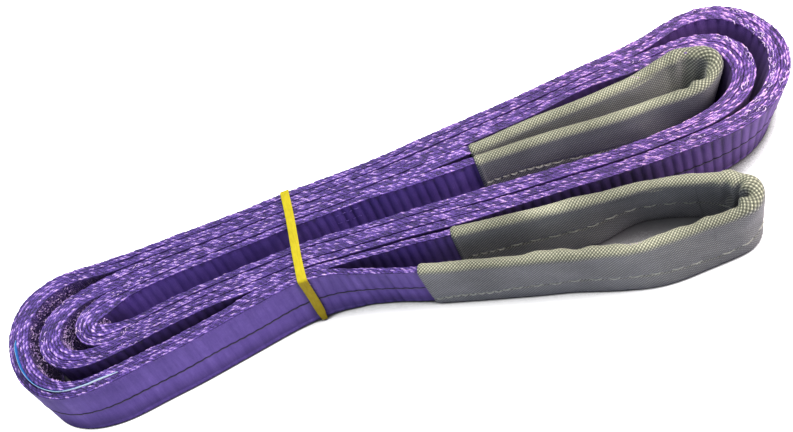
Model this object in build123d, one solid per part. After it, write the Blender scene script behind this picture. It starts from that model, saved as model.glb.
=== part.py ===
from build123d import *
import math
import os

# Flat web lifting sling, two plies thick with a soft eye at each end, rolled up
# on edge into a flat coil and held by an elastic band.  Millimetres, +Z up.
# The webbing stands on edge, so its width is vertical and every ply is an
# upright ribbon that follows a plan path made of tangent arcs.
# +X runs along the coil towards the eye tips.  -Y is the front, with the free eye.

# ---------------------------------------------------------------- dimensions
WEB_WIDTH = 30.0          # vertical in the coil
PLY = 3.2                 # thickness of one ply
PLY_GAP = 0.17            # air between the two plies of one stretch
LAY_GAP = 0.19            # air between neighbouring stretches of the coil
LIFT = 0.9                # web edge above the ground plane
WEB_TOP = LIFT + WEB_WIDTH
WEB_MID = (LIFT + WEB_TOP) / 2
HALF_PLY = PLY / 2

SLEEVE_WALL = 0.80        # wear sleeve fabric
SLEEVE_AIR = 0.10         # sleeve to web clearance

BAND_X = -43.7            # where the elastic band sits along the coil
BAND_WIDTH = 4.0
BAND_WALL = 0.6
BAND_AIR = 0.2
BAND_CORNER = 0.9         # radius inside the band's corners
BAND_MARGIN = 1.5         # extra length of coil measured on each side of the band

STRIPE_HEIGHT = 1.1       # load stripe on the outer face
STRIPE_THICK = 0.07
STRIPE_OFF = 0.03         # stripe to ply clearance

LABEL_THICK = 0.5
LABEL_PROUD = 1.2         # how far the label stands above the web edge
LABEL_LOW = 5.0           # label bottom above the lower web edge

SEAM_STITCH = 5.8         # sleeve seam stitch length
SEAM_PITCH = 8.2
SEAM_HEIGHT = 0.7
SEAM_THICK = 0.35
SEAM_START = 1.5          # first stitch from the start of its run
SEAM_OFF = 0.05           # thread to sleeve clearance
SEAM_Z_FRONT = 10.0       # height of the seam on each part of an eye
SEAM_Z_TIP = 12.0
SEAM_Z_REAR = 15.0
SEAM_Z_BURIED = 16.5

TACK_STITCH = 2.0         # eye base stitching
TACK_PITCH = TACK_STITCH + 1.0
TACK_HEIGHT = 0.6
TACK_THICK = 0.09
TACK_START = 0.5
TACK_OFF = 0.02           # thread to ply clearance
TACK_ROWS = (4.5, 10.0, 21.6, 27.1)    # heights of the rows

STEP = 0.5                # sample spacing along every path
BODY_BLUR = 5             # smoothing of the body path, in samples
LOOP_BLUR = 4             # smoothing of the whole loop, in samples
EYE_TRIM = 60             # samples searched at each end of an eye for its join
EYE_LEAD = 7              # samples back along a ply that set an eye's direction
KNOT_TURN = math.radians(9)    # an arc knot falls after this much turning
KNOT_DIST = 24                 # or after this length
END_CLEAR = 3             # samples kept free of knots at each end of a run
SHARP_BEND = 0.3          # sine of the turn over a stitch that hides it in a crease
MIN_SAG = 0.02            # a face curved less than this counts as flat
SAG_LIFT = 1.6            # stitch lift as a multiple of the sagitta

# ---------------------------------------------------------------- plan tables
SHIFT_Y = 19.76           # added to every table y to centre the plan on the origin

# y of the straight stretches under the band, numbered in the order they are laid
LAY = 2 * PLY + PLY_GAP + LAY_GAP
ROW_5 = 20.25
ROW_3 = ROW_5 - LAY
ROW_1 = ROW_3 - LAY
ROW_2 = -10.03
ROW_4 = ROW_2 - LAY
ROW_6 = ROW_4 - LAY

# Middle of the two-ply body: x, y, and the air between the plies where it is
# not PLY_GAP.  It starts where the buried eye divides, ends where the free eye does.
BODY = [
    # stretch 1 and the first left fold
    (-10.7, ROW_1), (-26.7, ROW_1), (-43.7, ROW_1), (-64, ROW_1), (-83.2, ROW_1 - 0.11),
    (-98.1, ROW_1 - 0.53), (-113.1, 4.7, 0.21), (-124.8, 2.1, 0.32), (-134.4, -0.1, 0.64),
    (-140.4, -2.9, 1.28), (-142.5, -7.5, 1.6), (-140.3, -12.1, 1.28), (-134.4, -14.4, 0.85),
    (-124.8, -14.6, 0.32), (-115.2, -13.5, 0.21),
    # stretch 2 and the first right fold
    (-98.1, -11.7), (-83.2, -10.6), (-64, -10.1), (-50.1, ROW_2), (-43.7, ROW_2),
    (-37.3, ROW_2 - 0.16), (-23.5, -11.4), (3.7, -13.7), (21.3, -15.3), (39.5, -17.3),
    (65.1, -20.1), (82.1, -21.2), (100.3, -22.2, 0.21), (117.3, -22, 0.27),
    (129.1, -21, 0.53), (139.7, -18, 1.07), (148.8, -13.2, 2.35), (154.7, -6, 3.63),
    (156.4, 1.6, 3.84), (154.8, 9.1, 3.2), (149.3, 14.5, 1.92), (140.8, 17.7, 1.07),
    (130.1, 18.6, 0.53), (119.5, 18.8, 0.27), (109.9, 19.1, 0.21),
    # stretch 3 and the second left fold
    (98.1, 19.4), (80, 18.3), (64, 17.3), (51.2, 16.6), (21.3, 14.8), (0, 13.7),
    (-25.6, ROW_3), (-43.7, ROW_3), (-64, ROW_3), (-91.7, ROW_3), (-106.7, 13.1),
    (-120.5, 12.1, 0.27), (-133.3, 10.2, 0.43), (-144, 8.1, 0.85), (-151.8, 4.5, 1.6),
    (-157, -1.6, 2.24), (-158.3, -9.1, 2.45), (-155.7, -16.2, 2.13), (-148.8, -21.2, 1.49),
    (-137.6, -22.8, 0.85), (-124.8, -22.2, 0.43), (-114.1, -20.8, 0.21),
    # stretch 4 and the second right fold
    (-101.3, -19.1), (-85.3, -17.7), (-70.4, -17), (-53.3, ROW_4), (-43.7, ROW_4),
    (-37.3, ROW_4 - 0.27), (-23.5, -18.3), (3.7, -20.7), (21.3, -22.7), (39.5, -24.9),
    (65.1, -27.3), (82.1, -28.4), (100.3, -29, 0.21), (115.2, -29.3, 0.27),
    (130.1, -29, 0.43), (142.9, -27.5, 0.85), (153.1, -24.2, 1.49), (161.6, -17.9, 2.13),
    (167.8, -9.1, 2.67), (170.5, 1.1, 2.77), (168.9, 12.8, 2.56), (164.8, 21.9, 2.13),
    (158.9, 28.1, 1.49), (150.9, 30.9, 1.07), (142.4, 30.9, 0.75), (132.3, 29.2, 0.43),
    (122.7, 27.6, 0.27), (109.9, 26.6, 0.21),
    # stretch 5 and the outermost left fold
    (98.1, 26.2), (80, 25.2), (64, 24.2), (51.2, 23.5), (21.3, 21.7), (0, 20.4),
    (-25.6, ROW_5), (-43.7, ROW_5), (-64, ROW_5), (-91.7, ROW_5), (-110.9, 20.2),
    (-125.9, 20.5, 0.27), (-138.7, 21.4, 0.53), (-147.2, 21.7, 0.85), (-154.5, 20.5, 1.07),
    (-161.1, 17.7, 1.28), (-166.4, 13.1, 1.39), (-169.6, 6.9, 1.49), (-170.9, -1.1, 1.49),
    (-170.8, -10.7, 1.49), (-169.4, -18.7, 1.49), (-166.4, -25.4, 1.49),
    (-161.7, -30.3, 1.49), (-155.2, -33.9, 1.49), (-146.7, -35.4, 1.39),
    (-135.5, -35.5, 1.17), (-121.6, -34.1, 0.85), (-110.9, -33, 0.64), (-96, -31.1, 0.43),
    (-83.2, -29.1, 0.32), (-72.5, -27.1, 0.21),
    # stretch 6, the tail
    (-61.9, -25.1), (-53.3, -23.9), (-48, ROW_6), (-43.7, ROW_6), (-39.5, ROW_6 - 0.13),
    (-33.1, -24.5),
]
# Free eye, one ply thick: x, y out along the front leg to the tip and back.
FREE_EYE = [
    (-23.5, -29.1), (-12.8, -33.3), (0.5, -39.3), (17.1, -45.5), (29.5, -49.8),
    (49.8, -56.7), (61.9, -61), (77.9, -66.5), (91.7, -69.8), (103.5, -70.7),
    (115.2, -70.8), (124.8, -71.3), (131.7, -71), (136.9, -68.8), (139.3, -64.4),
    (137.8, -59.5), (132.5, -54.8), (123.7, -50.1), (113.6, -46.3), (101, -43.4),
    (84.3, -41), (75.7, -39.8), (59.3, -37.1), (42.7, -34.1), (30.9, -31.9),
    (20.3, -29.8), (10.7, -28.1), (3.7, -26.7), (-8.5, -25.2), (-19.2, -23.9),
]
# Buried eye: x, y out to the tip inside the right-hand folds and back.
BURIED_EYE = [
    (3.2, 3.7), (14.9, 2.6), (29.9, 1.7), (46.9, 1.1), (64, 0.2), (80, -1.1),
    (93.9, -2.8), (106.7, -3.8), (119.5, -3.9), (130.1, -3.2), (138.7, -1.4),
    (143.6, 1.3), (146.1, 4.6), (145.1, 8.4), (140.4, 10.9), (134.4, 11.1),
    (124.8, 9.8), (109.9, 7.8), (90.7, 7), (72.5, 7.3), (46.9, 7.9), (21.3, 8.3),
    (4.3, 8.4),
]


# ------------------------------------------------------------ path arithmetic
def distance(p, q):
    return math.hypot(q[0] - p[0], q[1] - p[1])


def unit(x, y):
    size = math.hypot(x, y)
    return x / size, y / size


def left(tangent):
    return -tangent[1], tangent[0]


def beside(sample, offset):
    # the point at an offset to the left of a (point, tangent) sample
    point, tangent = sample
    normal = left(tangent)
    return point[0] + normal[0] * offset, point[1] + normal[1] * offset


def nearest(points, target, low=0, high=None):
    high = len(points) if high is None else high
    return min(range(low, high),
               key=lambda i: (points[i][0] - target[0]) ** 2 + (points[i][1] - target[1]) ** 2)


def blend(p, q, start, end, at):
    # p at start, q at end, linear in between
    return tuple((end - at) / (end - start) * a + (at - start) / (end - start) * b
                 for a, b in zip(p, q))


def catmull(points):
    # centripetal Catmull-Rom through the points, sampled at about one STEP
    before = tuple(2 * a - b for a, b in zip(points[0], points[1]))
    after = tuple(2 * a - b for a, b in zip(points[-1], points[-2]))
    padded = [before, *points, after]
    out = []
    for i in range(1, len(padded) - 2):
        p = padded[i - 1:i + 3]
        t = [0.0]
        for a, b in zip(p, p[1:]):
            t.append(t[-1] + max(distance(a, b), 1e-6) ** 0.5)
        count = max(2, int(round(distance(p[1], p[2]) / STEP)))
        for k in range(count):
            at = t[1] + (t[2] - t[1]) * k / count
            first, middle, final = [blend(p[j], p[j + 1], t[j], t[j + 1], at) for j in range(3)]
            lower = blend(first, middle, t[0], t[2], at)
            upper = blend(middle, final, t[1], t[3], at)
            out.append(blend(lower, upper, t[1], t[2], at))
    out.append(tuple(points[-1]))
    return out


def resample(points):
    # spacing made equal along the polyline, end points kept
    along = [0.0]
    for a, b in zip(points, points[1:]):
        along.append(along[-1] + distance(a, b))
    count = max(2, int(round(along[-1] / STEP)))
    out = []
    j = 0
    for k in range(count + 1):
        at = along[-1] * k / count
        while j < len(points) - 2 and along[j + 1] < at:
            j += 1
        part = (at - along[j]) / max(along[j + 1] - along[j], 1e-9)
        out.append(tuple(a + (b - a) * part for a, b in zip(points[j], points[j + 1])))
    return out


def blur(points, sigma, closed=False):
    # Gaussian smoothing along the path, sigma in samples; open ends are mirrored
    reach = range(-int(3 * sigma), int(3 * sigma) + 1)
    weights = [math.exp(-0.5 * (k / sigma) ** 2) for k in reach]
    total = sum(weights)
    count = len(points)
    out = []
    for i in range(count):
        sums = [0.0] * len(points[0])
        for k, weight in zip(reach, weights):
            j = i + k
            if closed:
                p = points[j % count]
            elif j < 0:
                p = tuple(2 * a - b for a, b in zip(points[0], points[min(-j, count - 1)]))
            elif j >= count:
                mirrored = points[max(2 * count - 2 - j, 0)]
                p = tuple(2 * a - b for a, b in zip(points[-1], mirrored))
            else:
                p = points[j]
            for axis in range(len(sums)):
                sums[axis] += weight * p[axis]
        out.append(tuple(value / total for value in sums))
    return out


def tangents(points, closed=False):
    count = len(points)
    out = []
    for i in range(count):
        a = points[(i - 1) % count] if closed else points[max(i - 1, 0)]
        b = points[(i + 1) % count] if closed else points[min(i + 1, count - 1)]
        out.append(unit(b[0] - a[0], b[1] - a[1]))
    return out


# ------------------------------------------------------------- the web's path
body = blur(resample(catmull([(*row, PLY_GAP) if len(row) == 2 else row for row in BODY])),
            BODY_BLUR)
body_tangents = tangents(body)


def ply_line(side):
    # centre line of one ply: side +1 is the left (inner) ply, -1 the right (outer)
    return [beside((p, t), side * (PLY + p[2]) / 2) for p, t in zip(body, body_tangents)]


def eye_line(lead_in, eye, lead_out):
    # curve through the eye, trimmed to start and stop beside the ply ends it joins
    line = resample(catmull([*lead_in, *eye, *lead_out]))
    start = nearest(line, lead_in[1], 0, EYE_TRIM) + 1
    end = nearest(line, lead_out[0], len(line) - EYE_TRIM)
    return line[start:end]


# The load web is one closed loop: outer ply, free eye, inner ply, buried eye.
outer_line = ply_line(-1)
inner_line = ply_line(+1)
back = -1 - EYE_LEAD
free_line = eye_line([outer_line[back], outer_line[-1]], FREE_EYE,
                     [inner_line[-1], inner_line[back]])
buried_line = eye_line([inner_line[EYE_LEAD], inner_line[0]], BURIED_EYE,
                       [outer_line[0], outer_line[EYE_LEAD]])
FREE_START = len(outer_line)
INNER_START = FREE_START + len(free_line)
BURIED_START = INNER_START + len(inner_line)
loop = blur(outer_line + free_line + inner_line[::-1] + buried_line, LOOP_BLUR, closed=True)

loop = [(x, y + SHIFT_Y) for x, y in loop]
body = [(x, y + SHIFT_Y, gap) for x, y, gap in body]
loop_tangents = tangents(loop, closed=True)
COUNT = len(loop)
LAST = len(body) - 1


def run(start, end):
    # (point, tangent) samples forwards along the loop, past its closing point if need be
    return [(loop[(start + j) % COUNT], loop_tangents[(start + j) % COUNT])
            for j in range((end - start) % COUNT + 1)]


def outer_run(start, end):
    # outer ply between two body samples, which share their loop index
    return run(start, end)


def inner_run(start, end):
    # inner ply between two body samples; the loop runs back along it
    return run(INNER_START + LAST - end, INNER_START + LAST - start)


def free_at(x, y):
    return nearest(loop, (x, y + SHIFT_Y), FREE_START, INNER_START)


def buried_at(x, y):
    return nearest(loop, (x, y + SHIFT_Y), BURIED_START, COUNT)


def body_at(x, y, low, high):
    # nearest body sample between two fractions of the body's length
    return nearest(body, (x, y + SHIFT_Y), int(low * len(body)), int(high * len(body)))


def arc_knots(samples):
    # points where arcs meet: closer together where the path turns
    out = set()
    turn = length = 0.0
    for (p, t), (q, u) in zip(samples, samples[1:]):
        turn += abs(math.asin(max(-1, min(1, t[0] * u[1] - t[1] * u[0]))))
        length += distance(p, q)
        if turn > KNOT_TURN or length > KNOT_DIST:
            out.add(q)
            turn = length = 0.0
    return out


LOOP_KNOTS = arc_knots(run(0, COUNT - 1))


# -------------------------------------------------------------- solid builders
def biarcs(samples, knots):
    # tangent arcs as (start, middle, end) samples; middle is None for a straight line
    inside = [i for i in range(END_CLEAR, len(samples) - END_CLEAR) if samples[i][0] in knots]
    stations = [0] + inside + [len(samples) - 1]
    out = []
    for i, j in zip(stations, stations[1:]):
        (p0, t0), (p1, t1) = samples[i], samples[j]
        vx, vy = p1[0] - p0[0], p1[1] - p0[1]
        vv = vx * vx + vy * vy
        vt = vx * (t0[0] + t1[0]) + vy * (t0[1] + t1[1])
        den = 2 * (1 - (t0[0] * t1[0] + t0[1] * t1[1]))
        if den < 1e-9:
            reach = vv / (2 * vt)
        else:
            reach = (-vt + math.sqrt(vt * vt + den * vv)) / den
        joint = ((p0[0] + p1[0] + reach * (t0[0] - t1[0])) / 2,
                 (p0[1] + p1[1] + reach * (t0[1] - t1[1])) / 2)
        chord = unit(joint[0] - p0[0], joint[1] - p0[1])
        k = 2 * (t0[0] * chord[0] + t0[1] * chord[1])
        joint_tangent = (k * chord[0] - t0[0], k * chord[1] - t0[1])
        halves = [samples[i], (joint, joint_tangent), samples[j]]
        for start, end in zip(halves, halves[1:]):
            (a, ta), (b, tb) = start, end
            dx, dy = b[0] - a[0], b[1] - a[1]
            normal = left(ta)
            rise = normal[0] * dx + normal[1] * dy
            if abs(rise) < 1e-5 * math.hypot(dx, dy):
                out.append((start, None, end))
                continue
            radius = (dx ** 2 + dy ** 2) / (2 * rise)
            centre = beside(start, radius)
            tangent = unit(ta[0] + tb[0], ta[1] + tb[1])
            out.append((start, (beside((centre, tangent), -radius), tangent), end))
    return out


def side_edges(arcs, offset):
    out = []
    for start, middle, end in arcs:
        if middle is None:
            out.append(Line(beside(start, offset), beside(end, offset)))
        else:
            out.append(ThreePointArc(*[beside(s, offset) for s in (start, middle, end)]))
    return out


def ribbon(samples, right_off, left_off, z0, z1, knots=LOOP_KNOTS):
    # upright ribbon between two offsets of the path (left positive)
    arcs = biarcs(samples, knots)
    low = side_edges(arcs, right_off)
    high = side_edges(arcs, left_off)
    caps = [Line(low[0] @ 0, high[0] @ 0), Line(low[-1] @ 1, high[-1] @ 1)]
    return Pos(0, 0, z0) * extrude(make_face(low + high + caps), amount=z1 - z0)


def ply(samples):
    return ribbon(samples, -HALF_PLY, HALF_PLY, LIFT, WEB_TOP)


def sleeve(samples):
    def block(grow):
        side = HALF_PLY + grow
        return ribbon(samples, -side, side, LIFT - grow, WEB_TOP + grow)

    return block(SLEEVE_AIR + SLEEVE_WALL) - block(SLEEVE_AIR)


def stripe(samples):
    # on the right-hand face, which is the outer face of the outer ply
    near = -HALF_PLY - STRIPE_OFF
    return ribbon(samples, near - STRIPE_THICK, near,
                  WEB_MID - STRIPE_HEIGHT / 2, WEB_MID + STRIPE_HEIGHT / 2)


def dashes(samples, near, far, z, length, pitch, height, first):
    # a row of straight stitches lying on one face, between two offsets of the path
    out = []
    span = int(length / STEP)
    for i in range(int(first / STEP), len(samples) - 1 - span, int(pitch / STEP)):
        (a, ta), (b, tb) = samples[i], samples[i + span]
        chord = unit(b[0] - a[0], b[1] - a[1])
        # inside a sharp bend the thread is buried in the crease
        bend = ta[0] * tb[1] - ta[1] * tb[0]
        if abs(bend) > SHARP_BEND and bend * near > 0:
            continue
        # the chord cuts the corner of a curved face, so lift it by the sagitta
        normal = left(chord)
        sags = [(p[0] - a[0]) * normal[0] + (p[1] - a[1]) * normal[1]
                for p, _ in samples[i:i + span + 1]]
        sag = max(sags) if near > 0 else min(sags)
        lift = sag * SAG_LIFT if abs(sag) > MIN_SAG else 0.0
        corners = [beside((p, chord), off + lift)
                   for p, off in ((a, near), (b, near), (b, far), (a, far))]
        face = make_face(Polyline(*corners, close=True))
        out.append(Pos(0, 0, z - height / 2) * extrude(face, amount=height))
    return out


def seam(samples, z):
    # running stitch that closes a sleeve, on both faces
    near = HALF_PLY + SLEEVE_AIR + SLEEVE_WALL + SEAM_OFF
    out = []
    for side in (1, -1):
        out += dashes(samples, side * near, side * (near + SEAM_THICK), z,
                      SEAM_STITCH, SEAM_PITCH, SEAM_HEIGHT, SEAM_START)
    return out


def tacks(samples):
    # rows of thread on the right-hand face, the outside of the two-ply body
    near = -(HALF_PLY + TACK_OFF)
    out = []
    for z in TACK_ROWS:
        out += dashes(samples, near, near - TACK_THICK, z,
                      TACK_STITCH, TACK_PITCH, TACK_HEIGHT, TACK_START)
    return out


# --------------------------------------------------------------- cut stations
cut_1 = body_at(106.7, -22.2, 0.1, 0.45)           # first turn ends in stretch 2
cut_2 = body_at(132.3, -28.9, 0.5, 0.75)           # second turn ends in stretch 4
web_end = body_at(10.7, 14.2, 0.3, 0.6)            # the two cut ends of the web meet here
divide = LAST - 4                                  # the plies part for the free eye
fold_start = body_at(-138.7, 21.4, 0.75, 1.0)
fold_end = body_at(-121.6, -34.1, 0.85, 1.0)


def heading_index(heading):
    # first sample of the outermost left fold whose heading passes this angle
    for i in range(fold_start, fold_end):
        angle = math.degrees(math.atan2(body_tangents[i][1], body_tangents[i][0])) % 360
        if heading <= angle < heading + 40:
            return i
    raise ValueError(heading)


hinge_1, hinge_2, hinge_3 = [heading_index(angle) for angle in (212, 270, 328)]

# free eye, in loop order from the front divide round the tip to the rear divide
front_root = free_at(-16, -31.9)
sleeve_front = free_at(3.7, -40.6)
tip_front = free_at(119.5, -70.9)
tip_rear = free_at(121.6, -49.3)
sleeve_rear = free_at(21.3, -30)
rear_root = free_at(-12.8, -24.7)
front_divide_run = run(divide, front_root)
front_sleeve_run = run(sleeve_front, tip_front)
tip_run = run(tip_front, tip_rear)
rear_sleeve_run = run(tip_rear, sleeve_rear)

# buried eye
buried_front = buried_at(40.5, 1.3)
buried_rear = buried_at(40.5, 8)
buried_tip_front = buried_at(115.2, -3.9)
buried_tip_rear = buried_at(115.2, 8.4)

# --------------------------------------------------------------------- plies
parts = {}
for name, start, end in (
    ("first_turn_{}_ply", 0, cut_1),
    ("third_turn_{}_ply", cut_2, hinge_1),
    ("unroll_fold_{}_ply_a", hinge_1, hinge_2),
    ("unroll_fold_{}_ply_b", hinge_2, hinge_3),
    ("tail_{}_ply", hinge_3, divide),
):
    parts[name.format("outer")] = ply(outer_run(start, end))
    parts[name.format("inner")] = ply(inner_run(start, end))
parts["second_turn_outer_ply"] = ply(outer_run(cut_1, cut_2))
parts["second_turn_inner_ply_start"] = ply(inner_run(cut_1, web_end - 1))
parts["second_turn_inner_ply_end"] = ply(inner_run(web_end + 1, cut_2))

parts["free_eye_divide_front_ply"] = ply(front_divide_run)
parts["free_eye_divide_rear_ply"] = ply(run(rear_root, INNER_START + LAST - divide))
parts["free_eye_front_leg"] = ply(run(front_root, tip_front))
parts["free_eye_tip"] = ply(tip_run)
parts["free_eye_rear_leg"] = ply(run(tip_rear, rear_root))
parts["buried_eye_web"] = ply(run(BURIED_START - 1, 0))

# --------------------------------------------------------- sleeves and seams
for name, samples, seam_z in (
    ("front", front_sleeve_run, SEAM_Z_FRONT),
    ("tip", tip_run, SEAM_Z_TIP),
    ("rear", rear_sleeve_run, SEAM_Z_REAR),
):
    parts[f"free_eye_{name}_sleeve"] = sleeve(samples)
    parts[f"free_eye_{name}_seam"] = Compound(children=seam(samples, seam_z))
parts["buried_eye_sleeve"] = sleeve(run(buried_front, buried_rear))
# the buried seam leaves out the tip
parts["buried_eye_seam"] = Compound(
    children=seam(run(buried_front, buried_tip_front), SEAM_Z_BURIED)
    + seam(run(buried_tip_rear, buried_rear), SEAM_Z_BURIED))

# --------------------------------------------------------------- load stripe
for name, samples in (
    ("coil", outer_run(0, hinge_1)),
    ("fold_a", outer_run(hinge_1, hinge_2)),
    ("fold_b", outer_run(hinge_2, hinge_3)),
    ("tail", outer_run(hinge_3, divide)),
    ("divide", front_divide_run),
    ("front_leg", run(front_root, sleeve_front - 2)),
):
    parts[f"load_stripe_{name}"] = stripe(samples)


# ----------------------------------------------------------------------- label
def identification_label():
    # sewn between the plies round the outermost left fold
    start = body_at(-171, 0, 0.85, 1.0)
    end = body_at(-130.1, -35.1, 0.85, 1.0)
    samples = [(body[i][:2], body_tangents[i]) for i in range(start, end + 1)]
    return ribbon(samples, -LABEL_THICK / 2, LABEL_THICK / 2,
                  LIFT + LABEL_LOW, WEB_TOP + LABEL_PROUD, arc_knots(samples))


parts["identification_label"] = identification_label()

# --------------------------------------------------------- eye base stitching
parts["free_eye_base_stitching"] = Compound(children=tacks(outer_run(LAST - 16, divide + 1)))
parts["buried_eye_base_stitching"] = Compound(
    children=tacks(outer_run(2, 26)) + tacks(inner_run(2, 26)))


# ---------------------------------------------------------------- elastic band
def elastic_band():
    # a closed loop round all the stretches
    rows = [y for x, y, _ in body if abs(x - BAND_X) < BAND_WIDTH / 2 + BAND_MARGIN]
    reach = PLY + PLY_GAP / 2 + STRIPE_THICK + STRIPE_OFF + BAND_AIR
    y0, y1 = min(rows) - reach, max(rows) + reach
    z0, z1 = BAND_WALL, WEB_TOP + BAND_AIR

    def outline(grow):
        shape = RectangleRounded(y1 - y0 + 2 * grow, z1 - z0 + 2 * grow, BAND_CORNER + grow)
        plane = Plane.YZ.offset(BAND_X - BAND_WIDTH / 2)
        return plane * (Pos((y0 + y1) / 2, (z0 + z1) / 2) * shape)

    return extrude(outline(BAND_WALL) - outline(0), amount=BAND_WIDTH)


parts["elastic_band"] = elastic_band()

os.makedirs("parts", exist_ok=True)
for name, shape in parts.items():
    export_step(shape, f"parts/{name}.step")
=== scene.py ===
"""Flat web sling, coiled on its edge and held by an elastic band.

The web stands on the ground (+Z is its width) and the coil is long in X.  The free eye
leaves the near side (-Y) of the coil and reaches towards +X; the buried eye lies inside
the coil with its tip at +X.  Lengths are in millimetres; meshes are written in metres.
"""
import math

import bpy
import numpy as np
from mathutils import Matrix, Vector


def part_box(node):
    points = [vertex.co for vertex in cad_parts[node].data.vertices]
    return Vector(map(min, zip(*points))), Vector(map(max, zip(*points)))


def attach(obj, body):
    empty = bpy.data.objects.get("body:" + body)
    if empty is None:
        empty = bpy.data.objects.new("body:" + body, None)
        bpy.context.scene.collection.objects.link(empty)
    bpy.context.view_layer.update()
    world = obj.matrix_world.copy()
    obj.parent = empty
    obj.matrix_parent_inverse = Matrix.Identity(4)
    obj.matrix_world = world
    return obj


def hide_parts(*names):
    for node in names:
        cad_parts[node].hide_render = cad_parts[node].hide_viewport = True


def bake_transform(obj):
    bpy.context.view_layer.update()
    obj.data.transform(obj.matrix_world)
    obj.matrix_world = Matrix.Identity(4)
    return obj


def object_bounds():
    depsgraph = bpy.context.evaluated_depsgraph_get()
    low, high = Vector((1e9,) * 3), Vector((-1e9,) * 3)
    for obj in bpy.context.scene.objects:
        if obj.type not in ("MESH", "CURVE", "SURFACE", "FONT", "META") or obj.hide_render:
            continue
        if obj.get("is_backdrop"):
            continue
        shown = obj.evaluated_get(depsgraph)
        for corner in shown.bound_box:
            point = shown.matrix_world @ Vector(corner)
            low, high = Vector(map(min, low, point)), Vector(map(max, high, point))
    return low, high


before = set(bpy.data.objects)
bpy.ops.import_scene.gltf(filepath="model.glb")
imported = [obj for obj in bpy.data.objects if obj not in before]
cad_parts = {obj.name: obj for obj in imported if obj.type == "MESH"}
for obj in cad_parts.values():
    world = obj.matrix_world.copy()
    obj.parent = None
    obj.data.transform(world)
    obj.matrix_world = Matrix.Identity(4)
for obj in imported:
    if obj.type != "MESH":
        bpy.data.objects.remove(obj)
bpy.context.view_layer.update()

MM = 0.001

# ------------------------------------------------------------ driving sizes
WEB_WIDTH = 30.0          # vertical in the coil
PLY = 3.2                 # thickness of one ply
PLY_GAP = 0.17            # air between the two plies of one stretch
LAY_GAP = 0.19            # air between neighbouring stretches
LIFT = 0.9                # web edge above the ground
BAND_X = -43.7            # where the elastic band crosses the coil
LABEL_PROUD = 1.2         # label above the web edge
LABEL_LOW = 5.0           # label's lower edge above the web's
STITCH_LENGTH = 5.8       # sleeve seam
STITCH_PITCH = 8.2
RIB_PITCH = 4.3           # crosswise ribs on the web's faces
GRAIN_PITCH = 2.45        # plaited yarns along its edges
EDGE_ROWS = 4             # rows of plaited yarn across an edge
WEAVE = 0.72              # thread pitch of the sleeves
PLAN_SHIFT = 19.76        # moves the plan in Y so the ground centre is the origin
STEP = 0.5                # spacing of the path samples

HALF_PLY = PLY / 2
HALF_WIDTH = WEB_WIDTH / 2
BOTTOM_Z, TOP_Z = LIFT, LIFT + WEB_WIDTH
MID_Z = (BOTTOM_Z + TOP_Z) / 2

# Y of the straight stretches on the far and near sides of the coil
LAY = 2 * PLY + PLY_GAP + LAY_GAP
FAR_OUT = 20.25
FAR_MID = FAR_OUT - LAY
FAR_IN = FAR_MID - LAY
NEAR_IN = -10.03
NEAR_MID = NEAR_IN - LAY
NEAR_OUT = NEAR_MID - LAY

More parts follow.
